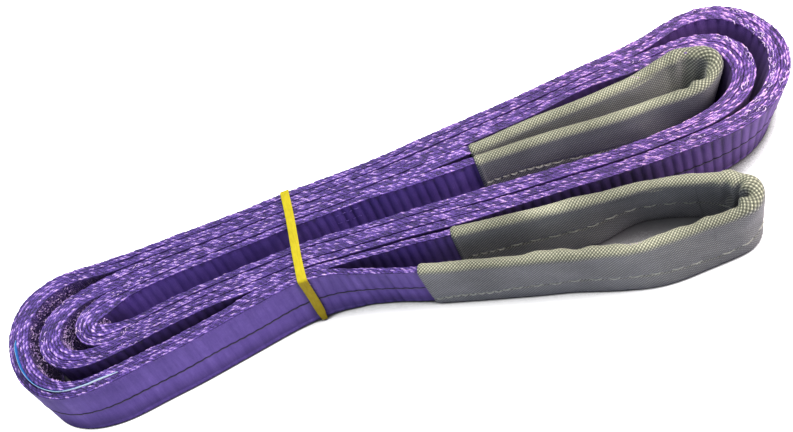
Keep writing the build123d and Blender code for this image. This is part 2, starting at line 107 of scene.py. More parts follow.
# Middle line of the doubled web, from the inside of the coil outwards: x, y, gap between plies
BODY = [
    # first turn
    (-10.7, FAR_IN, 0.17), (-26.7, FAR_IN, 0.17), (-43.7, FAR_IN, 0.17), (-64, FAR_IN, 0.17),
    (-83.2, FAR_IN - 0.11, 0.17), (-98.1, FAR_IN - 0.53, 0.17), (-113.1, 4.7, 0.21),
    (-124.8, 2.1, 0.32), (-134.4, -0.1, 0.64), (-140.4, -2.9, 1.28), (-142.5, -7.5, 1.6),
    (-140.3, -12.1, 1.28), (-134.4, -14.4, 0.85), (-124.8, -14.6, 0.32), (-115.2, -13.5, 0.21),
    (-98.1, -11.7, 0.17), (-83.2, -10.6, 0.17), (-64, -10.1, 0.17), (-50.1, NEAR_IN, 0.17),
    (-43.7, NEAR_IN, 0.17), (-37.3, NEAR_IN - 0.16, 0.17), (-23.5, -11.4, 0.17),
    (3.7, -13.7, 0.17), (21.3, -15.3, 0.17), (39.5, -17.3, 0.17), (65.1, -20.1, 0.17),
    (82.1, -21.2, 0.17), (100.3, -22.2, 0.21), (117.3, -22, 0.27), (129.1, -21, 0.53),
    (139.7, -18, 1.07), (148.8, -13.2, 2.35), (154.7, -6, 3.63), (156.4, 1.6, 3.84),
    (154.8, 9.1, 3.2), (149.3, 14.5, 1.92), (140.8, 17.7, 1.07), (130.1, 18.6, 0.53),
    (119.5, 18.8, 0.27), (109.9, 19.1, 0.21), (98.1, 19.4, 0.17), (80, 18.3, 0.17),
    (64, 17.3, 0.17), (51.2, 16.6, 0.17), (21.3, 14.8, 0.17), (0, 13.7, 0.17),
    # second turn
    (-25.6, FAR_MID, 0.17), (-43.7, FAR_MID, 0.17), (-64, FAR_MID, 0.17),
    (-91.7, FAR_MID, 0.17), (-106.7, 13.1, 0.17), (-120.5, 12.1, 0.27), (-133.3, 10.2, 0.43),
    (-144, 8.1, 0.85), (-151.8, 4.5, 1.6), (-157, -1.6, 2.24), (-158.3, -9.1, 2.45),
    (-155.7, -16.2, 2.13), (-148.8, -21.2, 1.49), (-137.6, -22.8, 0.85), (-124.8, -22.2, 0.43),
    (-114.1, -20.8, 0.21), (-101.3, -19.1, 0.17), (-85.3, -17.7, 0.17), (-70.4, -17, 0.17),
    (-53.3, NEAR_MID, 0.17), (-43.7, NEAR_MID, 0.17), (-37.3, NEAR_MID - 0.27, 0.17),
    (-23.5, -18.3, 0.17), (3.7, -20.7, 0.17), (21.3, -22.7, 0.17), (39.5, -24.9, 0.17),
    (65.1, -27.3, 0.17), (82.1, -28.4, 0.17), (100.3, -29, 0.21), (115.2, -29.3, 0.27),
    (130.1, -29, 0.43), (142.9, -27.5, 0.85), (153.1, -24.2, 1.49), (161.6, -17.9, 2.13),
    (167.8, -9.1, 2.67), (170.5, 1.1, 2.77), (168.9, 12.8, 2.56), (164.8, 21.9, 2.13),
    (158.9, 28.1, 1.49), (150.9, 30.9, 1.07), (142.4, 30.9, 0.75), (132.3, 29.2, 0.43),
    (122.7, 27.6, 0.27), (109.9, 26.6, 0.21), (98.1, 26.2, 0.17), (80, 25.2, 0.17),
    (64, 24.2, 0.17), (51.2, 23.5, 0.17), (21.3, 21.7, 0.17), (0, 20.4, 0.17),
    # third turn, to the divide
    (-25.6, FAR_OUT, 0.17), (-43.7, FAR_OUT, 0.17), (-64, FAR_OUT, 0.17),
    (-91.7, FAR_OUT, 0.17), (-110.9, 20.2, 0.17), (-125.9, 20.5, 0.27), (-138.7, 21.4, 0.53),
    (-147.2, 21.7, 0.85), (-154.5, 20.5, 1.07), (-161.1, 17.7, 1.28), (-166.4, 13.1, 1.39),
    (-169.6, 6.9, 1.49), (-170.9, -1.1, 1.49), (-170.8, -10.7, 1.49), (-169.4, -18.7, 1.49),
    (-166.4, -25.4, 1.49), (-161.7, -30.3, 1.49), (-155.2, -33.9, 1.49), (-146.7, -35.4, 1.39),
    (-135.5, -35.5, 1.17), (-121.6, -34.1, 0.85), (-110.9, -33, 0.64), (-96, -31.1, 0.43),
    (-83.2, -29.1, 0.32), (-72.5, -27.1, 0.21), (-61.9, -25.1, 0.17), (-53.3, -23.9, 0.17),
    (-48, NEAR_OUT, 0.17), (-43.7, NEAR_OUT, 0.17), (-39.5, NEAR_OUT - 0.13, 0.17),
    (-33.1, -24.5, 0.17),
]
# Single ply of the free eye, from the divide out to the tip and back: x, y
FREE_EYE = [
    (-23.5, -29.1), (-12.8, -33.3), (0.5, -39.3), (17.1, -45.5), (29.5, -49.8), (49.8, -56.7),
    (61.9, -61), (77.9, -66.5), (91.7, -69.8), (103.5, -70.7), (115.2, -70.8), (124.8, -71.3),
    (131.7, -71), (136.9, -68.8), (139.3, -64.4), (137.8, -59.5), (132.5, -54.8),
    (123.7, -50.1), (113.6, -46.3), (101, -43.4), (84.3, -41), (75.7, -39.8), (59.3, -37.1),
    (42.7, -34.1), (30.9, -31.9), (20.3, -29.8), (10.7, -28.1), (3.7, -26.7), (-8.5, -25.2),
    (-19.2, -23.9),
]
# Single ply of the buried eye, out to the tip and back: x, y
BURIED_EYE = [
    (3.2, 3.7), (14.9, 2.6), (29.9, 1.7), (46.9, 1.1), (64, 0.2), (80, -1.1), (93.9, -2.8),
    (106.7, -3.8), (119.5, -3.9), (130.1, -3.2), (138.7, -1.4), (143.6, 1.3), (146.1, 4.6),
    (145.1, 8.4), (140.4, 10.9), (134.4, 11.1), (124.8, 9.8), (109.9, 7.8), (90.7, 7),
    (72.5, 7.3), (46.9, 7.9), (21.3, 8.3), (4.3, 8.4),
]


# ---------------------------------------------------------- path arithmetic
def catmull(knots):
    """Centripetal Catmull-Rom curve through the knots, sampled at about one STEP."""
    before = tuple(2 * a - b for a, b in zip(knots[0], knots[1]))
    after = tuple(2 * a - b for a, b in zip(knots[-1], knots[-2]))
    padded = [before] + knots + [after]
    curve = []
    for i in range(1, len(padded) - 2):
        p = padded[i - 1:i + 3]
        t = [0.0]
        for a, b in zip(p, p[1:]):
            t.append(t[-1] + max(math.hypot(b[0] - a[0], b[1] - a[1]), 1e-6) ** 0.5)
        count = max(2, int(round(math.hypot(p[2][0] - p[1][0], p[2][1] - p[1][1]) / STEP)))
        for k in range(count):
            now = t[1] + (t[2] - t[1]) * k / count

            def between(lo, hi, a, b):
                span = t[hi] - t[lo]
                return (t[hi] - now) / span * a + (now - t[lo]) / span * b

            point = []
            for c in zip(*p):
                first = between(0, 1, c[0], c[1])
                middle = between(1, 2, c[1], c[2])
                final = between(2, 3, c[2], c[3])
                point.append(between(1, 2, between(0, 2, first, middle),
                                     between(1, 3, middle, final)))
            curve.append(tuple(point))
    curve.append(tuple(knots[-1]))
    return curve


def resample(points):
    """Equal spacing of about one STEP along the polyline, end points kept."""
    reach = [0.0]
    for a, b in zip(points, points[1:]):
        reach.append(reach[-1] + math.hypot(b[0] - a[0], b[1] - a[1]))
    count = max(2, int(round(reach[-1] / STEP)))
    out, j = [], 0
    for k in range(count + 1):
        want = reach[-1] * k / count
        while j < len(points) - 2 and reach[j + 1] < want:
            j += 1
        f = (want - reach[j]) / max(reach[j + 1] - reach[j], 1e-9)
        out.append(tuple(a + (b - a) * f for a, b in zip(points[j], points[j + 1])))
    return out


def blur(points, sigma, closed=False):
    """Gaussian smoothing along the path, sigma in samples; open ends are mirrored."""
    radius = int(3 * sigma)
    weights = [math.exp(-0.5 * (k / sigma) ** 2) for k in range(-radius, radius + 1)]
    total = sum(weights)
    n = len(points)
    out = []
    for i in range(n):
        point = [0.0] * len(points[0])
        for j, weight in enumerate(weights, i - radius):
            if closed:
                p = points[j % n]
            elif j < 0:
                p = tuple(2 * a - b for a, b in zip(points[0], points[min(-j, n - 1)]))
            elif j >= n:
                mirror = points[max(2 * n - 2 - j, 0)]
                p = tuple(2 * a - b for a, b in zip(points[-1], mirror))
            else:
                p = points[j]
            for d in range(len(point)):
                point[d] += weight * p[d]
        out.append(tuple(v / total for v in point))
    return out


def tangents(points, closed=False):
    n = len(points)
    out = []
    for i in range(n):
        a = points[(i - 1) % n] if closed else points[max(i - 1, 0)]
        b = points[(i + 1) % n] if closed else points[min(i + 1, n - 1)]
        d = math.hypot(b[0] - a[0], b[1] - a[1])
        out.append(((b[0] - a[0]) / d, (b[1] - a[1]) / d))
    return out


def nearest(points, target, lo, hi):
    def square(i):
        return (points[i][0] - target[0]) ** 2 + (points[i][1] - target[1]) ** 2
    return min(range(lo, hi), key=square)


def left_of(direction):
    return np.stack([-direction[:, 1], direction[:, 0]], 1)


body = blur(resample(catmull(BODY)), 5)
body_dir = tangents(body)


def ply_line(side):
    """Centre line of one ply: side +1 is the left (inner) ply, -1 the right (outer) one."""
    return [(x - dy * side * (PLY + gap) / 2, y + dx * side * (PLY + gap) / 2)
            for (x, y, gap), (dx, dy) in zip(body, body_dir)]


def eye_line(before, knots, after):
    """Path of an eye, led in and out by two ply samples, without the overlap."""
    line = resample(catmull(before + knots + after))
    n = len(line)
    return line[nearest(line, before[-1], 0, 60) + 1:nearest(line, after[0], n - 60, n)]


# The web is one closed loop: outer ply, free eye, inner ply backwards, buried eye.
# Its left-hand face looks at the other ply, or into the eye.
outer_line, inner_line = ply_line(-1), ply_line(+1)
loop = list(outer_line)
OUTER_END = len(loop)
loop += eye_line([outer_line[-8], outer_line[-1]], FREE_EYE, [inner_line[-1], inner_line[-8]])
FREE_END = len(loop)
loop += reversed(inner_line)
INNER_END = len(loop)
loop += eye_line([inner_line[7], inner_line[0]], BURIED_EYE, [outer_line[0], outer_line[7]])
loop = [(x, y + PLAN_SHIFT) for x, y in blur(loop, 4, closed=True)]
body = [(x, y + PLAN_SHIFT, gap) for x, y, gap in body]
COUNT = len(loop)
LAST = len(body) - 1


# ----------------------------------------------------------------- stations
# Body samples are also the outer ply's loop samples.
def body_at(x, y, lo, hi):
    """Body sample nearest a plan point, within the fractions lo..hi of its length."""
    n = len(body)
    return nearest(body, (x, y + PLAN_SHIFT), int(lo * n), int(hi * n))


def inner(i):
    """Loop sample of the inner ply beside body sample i."""
    return FREE_END + (LAST - i)


def free_eye_at(x, y):
    return nearest(loop, (x, y + PLAN_SHIFT), OUTER_END, FREE_END)


def buried_eye_at(x, y):
    return nearest(loop, (x, y + PLAN_SHIFT), INNER_END, COUNT)


def heading(i):
    return math.degrees(math.atan2(body_dir[i][1], body_dir[i][0])) % 360


def turning_index(angle):
    """First sample of the outermost left-hand fold heading this way, in degrees."""
    return next(i for i in range(FOLD_START, FOLD_END) if angle <= heading(i) < angle + 40)


cut_1 = body_at(106.7, -22.2, 0.1, 0.45)
cut_2 = body_at(132.3, -28.9, 0.5, 0.75)
web_end = body_at(10.7, 14.2, 0.3, 0.6)
FOLD_START = body_at(-138.7, 21.4, 0.75, 1.0)
FOLD_END = body_at(-121.6, -34.1, 0.85, 1.0)
bend_0, bend_1, bend_2, bend_3 = [turning_index(angle) for angle in (183, 241, 299, 356)]
tip_front = free_eye_at(119.5, -70.9)
tip_rear = free_eye_at(121.6, -49.3)
sleeve_front = free_eye_at(3.7, -40.6)
sleeve_rear = free_eye_at(21.3, -30)
buried_near = buried_eye_at(40.5, 1.3)
buried_far = buried_eye_at(40.5, 8)
label_start = body_at(-171, 0, 0.85, 1.0)
label_end = body_at(-130.1, -35.1, 0.85, 1.0)

POS = np.array(loop)
LEFT = left_of(np.array(tangents(loop, closed=True)))
MID = np.array([p[:2] for p in body])
MID_LEFT = left_of(np.array(body_dir))
SPACING = np.hypot(*(np.roll(POS, -1, 0) - POS).T)
DIST = np.concatenate([[0.0], np.cumsum(SPACING)])[:COUNT]


def packed_offset():
    """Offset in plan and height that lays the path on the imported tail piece."""
    lo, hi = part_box("tail_outer_ply")
    tail = slice(turning_index(328), LAST - 3)
    side = LEFT[tail] * HALF_PLY
    own = np.concatenate([POS[tail] + side, POS[tail] - side])
    centre = np.array([lo.x + hi.x, lo.y + hi.y]) / 2
    return centre / MM - (own.min(0) + own.max(0)) / 2, lo.z / MM - BOTTOM_Z


plan_offset, Z_OFFSET = packed_offset()
POS = POS + plan_offset
MID = MID + plan_offset


def samples(start, end):
    """Loop samples from start forwards to end, both included."""
    return (start + np.arange((end - start) % COUNT + 1)) % COUNT


def distances(ids):
    """Distance along the loop, still rising where the loop closes."""
    dist = DIST[ids]
    jump = np.where(np.diff(dist) < 0)[0]
    if len(jump):
        dist[jump[0] + 1:] += DIST[-1] + SPACING[-1]
    return dist


def crossing(x, lo, hi):
    """First loop sample in lo..hi to pass this x."""
    sign = np.sign(POS[lo:hi, 0] - x)
    return lo + 1 + int(np.where(sign[1:] != sign[:-1])[0][0])


# ------------------------------------------------- how the web leans and sags
def eased(start, end, knots):
    """Values at some samples (sample, value), eased between them, for start..end - 1."""
    at, value = np.array(sorted(knots), float).T
    i = np.arange(start, end)
    k = np.clip(np.searchsorted(at, i, side="right") - 1, 0, len(at) - 2)
    f = np.clip((i - at[k]) / (at[k + 1] - at[k]), 0, 1)
    return value[k] + (value[k + 1] - value[k]) * f * f * (3 - 2 * f)


def eased_body(first, stations, final):
    knots = [(body_at(*place), value) for *place, value in stations]
    return eased(0, LAST + 1, [(0, first)] + knots + [(LAST, final)])


def on_plies(values, inner_sign=-1):
    """Body values spread over both plies of the loop, zero on the eyes."""
    out = np.zeros(COUNT)
    out[:OUTER_END] = values
    out[FREE_END:INNER_END] = inner_sign * values[::-1]
    return out


# How far the top of the web leans outwards, and its bottom inwards:
# x, y, search range along the body, lean
lean_mid = eased_body(0.0, [
    (-98, 6, 0, .1, 0.0), (-142.5, -7.5, 0, .2, 1.7), (-100, -11.7, .05, .2, 0.2),
    (60, -19.6, .1, .4, 0.0), (117, -22, .1, .45, 1.4), (156.4, 1.6, .2, .5, 4.8),
    (119.5, 18.8, .2, .5, 1.6), (60, 17, .3, .6, 0.0), (-106, 13.1, .4, .7, 0.2),
    (-158, -9.1, .4, .7, 2.2), (-114, -20.8, .45, .7, 0.4), (-20, -18, .5, .7, 0.0),
    (65, -27, .5, .75, 0.4), (115, -29.3, .5, .8, 1.8), (170.5, 1.1, .5, .85, 6.0),
    (122.7, 27.6, .6, .9, 2.0), (51, 23.5, .6, .9, 0.1), (-64, 20.2, .7, 1, 0.1),
    (-125.9, 20.5, .75, 1, 0.9), (-171, -4, .8, 1, 2.6), (-160, -31, .85, 1, 0.8),
    (-135.5, -35.5, .85, 1, -0.2), (-83, -29, .9, 1, 0.0), (-50, -23.8, .9, 1, 0.0),
], 0.6)
# How far the whole web stands outside its mean line, in the same columns
out_mid = eased_body(0.0, [
    (100, -22, .1, .45, 0.0), (156.4, 1.6, .2, .5, 0.5), (109.9, 19, .2, .5, 0.0),
    (115, -29.3, .5, .8, 0.0), (170.5, 1.1, .5, .85, 0.9), (110, 26.6, .6, .9, 0.0),
    (-138.7, 21.4, .75, 1, 0.0), (-171, -8, .8, 1, 1.3), (-146, -35.5, .85, 1, 1.4),
    (-110, -33, .85, 1, 0.6), (-83, -29, .9, 1, 0.0),
], 0.0)

LEAN = on_plies(lean_mid)
OUT = on_plies(out_mid)
GAP = on_plies(np.array([p[2] for p in body]), inner_sign=1)

leg_62 = OUTER_END + int((tip_front - OUTER_END) * 0.62)
leg_90 = OUTER_END + int((tip_front - OUTER_END) * 0.9)
rear_97 = nearest(POS, (97.0, POS[tip_rear, 1] + 3), tip_rear, FREE_END)
rear_75 = crossing(75, tip_rear, FREE_END)
buried_tip = INNER_END + (COUNT - INNER_END) // 2
LEAN[OUTER_END:FREE_END] = eased(OUTER_END, FREE_END, [
    (OUTER_END, 0.6), (crossing(-21, OUTER_END, OUTER_END + 200), 2.0),
    (crossing(-11, OUTER_END, OUTER_END + 200), 2.4), (leg_62, 2.0), (leg_90, 0.6),
    (tip_front + 30, 1.6), (tip_rear, -2.4), (rear_97, -3.6), (rear_75, -0.4),
    (FREE_END - 60, -1.0), (FREE_END - 1, -0.6)])
OUT[OUTER_END:FREE_END] = eased(OUTER_END, FREE_END, [
    (OUTER_END, 0.0), (leg_62, 0.0), (leg_90, 1.4), (tip_front + 30, 0.6), (tip_rear, 1.4),
    (rear_97, 2.6), (rear_75, 0.0), (FREE_END - 1, 0.0)])
LEAN[INNER_END:] = eased(INNER_END, COUNT, [
    (INNER_END, 0.0), (buried_tip - 70, 0.5), (buried_tip, 4.2), (buried_tip + 70, 0.5),
    (COUNT - 1, 0.0)])
OUT[INNER_END:] = eased(INNER_END, COUNT, [
    (INNER_END, 0.0), (buried_tip - 60, 0.2), (buried_tip, 1.4), (buried_tip + 70, 2.6),
    (buried_tip + 150, 2.2), (buried_far, 0.0), (COUNT - 1, 0.0)])


def wobble(seed, *coords):
    """Smooth pseudo-random function of one or more coordinates, about -1..1."""
    random = np.random.RandomState(int(seed))
    waves = 5
    out = 0.0
    for _ in range(waves):
        phase = random.uniform(0, 6.283)
        for x in coords:
            phase = phase + x * random.uniform(0.45, 1.6) * (1 if random.rand() < 0.5 else -1)
        out = out + np.sin(phase)
    return out / (0.72 * waves ** 0.5 * 2)


def hash01(a, b=0.0, seed=0.0):
    """Repeatable random number 0..1 for whole-number cells."""
    v = np.sin(np.asarray(a) * 127.1 + np.asarray(b) * 311.7 + seed * 74.7 + 3.1) * 43758.5453
    return v - np.floor(v)


# The web sinks towards the ground away from the sleeves and the band.
DROOP = 0.72 * (1 - 0.8 * np.exp(-((POS[:, 0] - BAND_X) / 14.0) ** 2))
for a, b in ((sleeve_front - 60, sleeve_rear + 60), (buried_near - 60, buried_far + 60)):
    ramp = np.ones(COUNT)
    ramp[a + 60:b - 60] = 0.0
    ramp[a:a + 60] = np.linspace(1, 0, 60)
    ramp[b - 60:b] = np.linspace(0, 1, 60)
    DROOP *= ramp
RISE = 0.28 * wobble(3, DIST / 38.0)          # slow unevenness of the top edge


# --------------------------------------------- what each face has beside it
PROBES = np.arange(0, COUNT, 4)


def nearest_web(points, line, skip, side=None):
    """Distance from a point at each probe to the line, leaving out its own stretch.

    With a side given, only what lies ahead of that face counts.
    """
    found = np.zeros(len(PROBES))
    for k in range(0, len(PROBES), 256):
        part = PROBES[k:k + 256]
        dx = line[None, :, 0] - points[k:k + 256, 0][:, None]
        dy = line[None, :, 1] - points[k:k + 256, 1][:, None]
        distance = np.hypot(dx, dy)
        along = np.abs(part[:, None] - np.arange(COUNT)[None, :])
        distance[np.minimum(along, COUNT - along) < skip] = 99.0
        if side is not None:
            ahead = (dx * LEFT[part, 0][:, None] + dy * LEFT[part, 1][:, None]) * side
            distance[ahead < 0.4] = 99.0
        found[k:k + 256] = distance.min(1)
    return found


def spread(values, sigma):
    """Probe values carried to every sample and smoothed round the loop."""
    full = np.interp(np.arange(COUNT), PROBES, values, period=COUNT)
    reach = 3 * sigma
    weights = np.exp(-0.5 * (np.arange(-reach, reach + 1) / sigma) ** 2)
    weights /= weights.sum()
    return np.convolve(np.concatenate([full[-reach:], full, full[:reach]]), weights, "valid")


def exposed(side):
    """1 where a face is free, 0 where it lies against a neighbour."""
    points = POS[PROBES] + LEFT[PROBES] * side * (HALF_PLY + 0.9)
    gap = nearest_web(points, POS, skip=12)
    return spread(np.clip((gap - HALF_PLY - 0.15) / 1.2, 0, 1), sigma=12)


def filler(side):
    """Half of any narrow gap beside the web: the soft edges spread until they meet."""
    line = POS - LEFT * OUT[:, None]
    points = line[PROBES] + LEFT[PROBES] * side * HALF_PLY
    gap = nearest_web(points, line, skip=14, side=side) - HALF_PLY
    half = np.clip(gap / 2 - 0.06, 0, 1.15) * np.clip((4.6 - gap) / 1.6, 0, 1)
    half = spread(half, sigma=10)
    # not on the free eye nor inside the buried sleeve
    half[OUTER_END:FREE_END] = 0.0
    half[buried_near:buried_far] = 0.0
    return half


FREE_RIGHT, FREE_LEFT = exposed(-1), exposed(1)
FILL_RIGHT, FILL_LEFT = filler(-1), filler(1)
RIB_DEPTH = np.full(COUNT, 0.36)         # where the face is free


def set_rib_depth(start, end, value, ease=60):
    """Ease the rib depth to a value between two samples."""
    span = (end - start) % COUNT
    for j in range(-ease, span + ease):
        f = min(1.0, (j + ease) / ease, (span + ease - j) / ease)
        i = (start + j) % COUNT
        RIB_DEPTH[i] = RIB_DEPTH[i] * (1 - f) + value * f


set_rib_depth(body_at(20, -22, .5, .75), body_at(122, 27.6, .6, .9), 0.46)
set_rib_depth(body_at(-150, 21, .7, 1), LAST, 0.06)
set_rib_depth(LAST + 10, sleeve_front, 0.22)
RIB_RIGHT = 0.05 + FREE_RIGHT * (RIB_DEPTH - 0.05)
RIB_LEFT = 0.05 + FREE_LEFT * (RIB_DEPTH - 0.05)
# the inner ply's ribs are flatter than those on the outside
soft = np.zeros(COUNT)
soft[FREE_END + 40:INNER_END - 40] = 1.0
RIB_RIGHT = RIB_RIGHT * (1 - 0.50 * np.convolve(soft, np.ones(61) / 61, "same"))

# Left-hand folds of the inner ply, from the innermost turn outwards: first, last sample
FOLD_1 = inner(body_at(-100, -11.7, .05, .2)), inner(body_at(-98, 6, 0, .1))
FOLD_2 = inner(body_at(-114, -20.8, .45, .7)), inner(body_at(-106, 13.1, .4, .7))
FOLD_3 = inner(body_at(-110, -33, .85, 1)), inner(body_at(-125.9, 20.5, .75, 1))

# Their top edges are squashed towards the middle of each fold ...
BULGE = np.zeros(COUNT)
for (a, b), from_x, full_x, deep in ((FOLD_1, -121.0, -133.0, 2.8),
                                     (FOLD_2, -130.0, -150.0, 1.6),
                                     (FOLD_3, -148.0, -164.0, 1.7)):
    BULGE[a:b] = deep * np.clip((from_x - POS[a:b, 0]) / (from_x - full_x), 0, 1)
# ... and their inward faces are bunched up and speckled.
SPECK = np.zeros(COUNT)
for a, b, from_x, ease in ((FREE_END, INNER_END, 122, 10), (*FOLD_1, 133, 4)):
    SPECK[a:b] = np.clip((-POS[a:b, 0] - from_x) / ease, 0, 1)

RIB_PHASE = DIST / RIB_PITCH + 0.22 * wobble(11, DIST / 21.0) + 0.06 * wobble(12, DIST / 3.1)


def rib_height(phase):
    return np.clip(np.sin(math.pi * (phase - np.floor(phase))), 0, 1) ** 0.75


# ------------------------------------------------------------ mesh building
def link(name, mesh):
    ob = bpy.data.objects.new(name, mesh)
    bpy.context.scene.collection.objects.link(ob)
    return ob


def place(ob, joint, *replaced):
    """Fix a piece to one body (a name); for a bend (body, body, start, end in mm) its
    transform is only baked in.
    """
    if isinstance(joint, str):
        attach(ob, joint)
    else:
        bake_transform(ob)
    if replaced:
        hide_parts(*replaced)


def volume(verts, tris):
    a, b, c = verts[tris[:, 0]], verts[tris[:, 1]], verts[tris[:, 2]]
    return float(np.einsum("ij,ij->i", a, np.cross(b, c)).sum())


def split(quads):
    return [quads[:, [0, 1, 2]], quads[:, [0, 2, 3]]]


def girth(rings):
    """Distances round the middle ring, back to its start."""
    ring = rings[len(rings) // 2]
    step = np.linalg.norm(np.roll(ring, -1, 0) - ring, axis=1)
    return np.concatenate([[0.0], np.cumsum(step)])


def sharpen_caps(mesh, K, M):
    """Hard edge round each end cap, so the tube shades evenly up to the cut."""
    ends = np.zeros(len(mesh.edges) * 2, np.int32)
    mesh.edges.foreach_get("vertices", ends)
    ends = ends.reshape(-1, 2)
    first = (ends < M).all(1)
    final = ((ends >= (K - 1) * M) & (ends < K * M)).all(1)
    sharp = (mesh.attributes.get("sharp_edge")
             or mesh.attributes.new("sharp_edge", "BOOLEAN", "EDGE"))
    sharp.data.foreach_set("value", first | final)


def tube(name, rings, material, along, around=None, attrs=None, closed=False):
    """Mesh through K rings of M points (K, M, 3): capped at the ends, or a closed path.

    along and around are the UVs per ring and per ring point; attrs are point values.
    """
    K, M = rings.shape[:2]
    kk, mm = np.meshgrid(np.arange(K if closed else K - 1), np.arange(M), indexing="ij")
    k2, m2 = (kk + 1) % K, (mm + 1) % M
    quads = np.stack([kk * M + mm, k2 * M + mm, k2 * M + m2, kk * M + m2], -1).reshape(-1, 4)
    if around is None:
        around = girth(rings)
    along = np.asarray(along, float)
    if closed:
        along = np.concatenate([along, [2 * along[-1] - along[-2]]])
    u = np.stack([along[kk], along[kk + 1], along[kk + 1], along[kk]], -1).reshape(-1, 4)
    v = np.stack([around[mm], around[mm], around[mm + 1], around[mm + 1]], -1).reshape(-1, 4)
    verts = rings.reshape(-1, 3)
    tris = np.zeros((0, 3), int)
    if not closed:
        verts = np.concatenate([verts, [rings[0].mean(0)], [rings[-1].mean(0)]])
        a = np.arange(M)
        b = (a + 1) % M
        tris = np.concatenate([
            np.stack([np.full(M, K * M), a, b], 1),
            np.stack([np.full(M, K * M + 1), (K - 1) * M + b, (K - 1) * M + a], 1)])
    if volume(verts, np.concatenate(split(quads) + [tris])) < 0:
        quads, tris = quads[:, ::-1], tris[:, ::-1]
        u, v = u[:, ::-1], v[:, ::-1]
    n_quads, n_tris = len(quads), len(tris)

    mesh = bpy.data.meshes.new(name)
    mesh.vertices.add(len(verts))
    mesh.vertices.foreach_set("co", (verts * MM).astype(np.float32).ravel())
    corners = np.concatenate([quads.ravel(), tris.ravel()])
    mesh.loops.add(len(corners))
    mesh.loops.foreach_set("vertex_index", corners.astype(np.int32))
    mesh.polygons.add(n_quads + n_tris)
    starts = np.concatenate([np.arange(n_quads) * 4, n_quads * 4 + np.arange(n_tris) * 3])
    mesh.polygons.foreach_set("loop_start", starts.astype(np.int32))
    mesh.polygons.foreach_set("use_smooth", np.arange(n_quads + n_tris) < n_quads)
    mesh.update(calc_edges=True)
    mesh.validate()

    uv = np.zeros((len(corners), 2), np.float32)
    uv[:n_quads * 4, 0] = u.ravel()
    uv[:n_quads * 4, 1] = v.ravel()
    uv[n_quads * 4:] = along[0], around[0]
    mesh.uv_layers.new(name="weave").data.foreach_set("uv", uv.ravel())
    caps = np.zeros(0 if closed else 2, np.float32)
    for key, values in (attrs or {}).items():
        attribute = mesh.attributes.new(key, "FLOAT", "POINT")
        values = np.asarray(values, np.float32).ravel()
        attribute.data.foreach_set("value", np.concatenate([values, caps]))
    if not closed:
        sharpen_caps(mesh, K, M)
    mesh.materials.append(material)
    ob = link(name, mesh)
    return ob


def bundle(name, parts, material):
    """Several small capped tubes in one mesh: parts is a list of (K, M, 3) rings."""
    verts, faces, base = [], [], 0
    for rings in parts:
        K, M = rings.shape[:2]
        points = rings.reshape(-1, 3)
        k, m = np.meshgrid(np.arange(K - 1), np.arange(M), indexing="ij")
        m2 = (m + 1) % M
        quads = np.stack([k * M + m, (k + 1) * M + m, (k + 1) * M + m2, k * M + m2], -1)
        quads = quads.reshape(-1, 4)
        caps = np.stack([np.arange(M)[::-1], (K - 1) * M + np.arange(M)])
        if volume(points - points.mean(0), np.concatenate(split(quads))) < 0:
            quads, caps = quads[:, ::-1], caps[:, ::-1]
        faces += (quads + base).tolist() + (caps + base).tolist()
        verts.append(points)
        base += len(points)
    mesh = bpy.data.meshes.new(name)
    mesh.from_pydata((np.concatenate(verts) * MM).tolist(), [], faces)
    mesh.polygons.foreach_set("use_smooth", np.ones(len(faces), bool))
    mesh.update()
    mesh.materials.append(material)
    ob = link(name, mesh)
    return ob


def thread(points, radius, sides=6):
    """Rings of a round thread through the points, narrowed at both ends."""
    points = np.asarray(points, float)
    along = np.gradient(points, axis=0)
    along /= np.linalg.norm(along, axis=1)[:, None] + 1e-12
    across = np.cross(along, np.array([0.0, 0.0, 1.0]))
    upright = np.linalg.norm(across, axis=1) < 1e-3
    across[upright] = np.cross(along[upright], np.array([1.0, 0.0, 0.0]))
    across /= np.linalg.norm(across, axis=1)[:, None]
    up = np.cross(across, along)
    angle = np.linspace(0, 2 * math.pi, sides, endpoint=False)[None, :, None]
    radii = np.full(len(points), radius)
    radii[0] = radii[-1] = radius * 0.45
    circle = np.cos(angle) * across[:, None, :] + np.sin(angle) * up[:, None, :]
    return points[:, None, :] + radii[:, None, None] * circle


# ---------------------------------------------------------------- materials
def linear(rgb):
    """Display colour 0..255 to linear RGBA."""
    def channel(c):
        c /= 255.0
        return c / 12.92 if c <= 0.04045 else ((c + 0.055) / 1.055) ** 2.4
    return (*(channel(c) for c in rgb), 1.0)


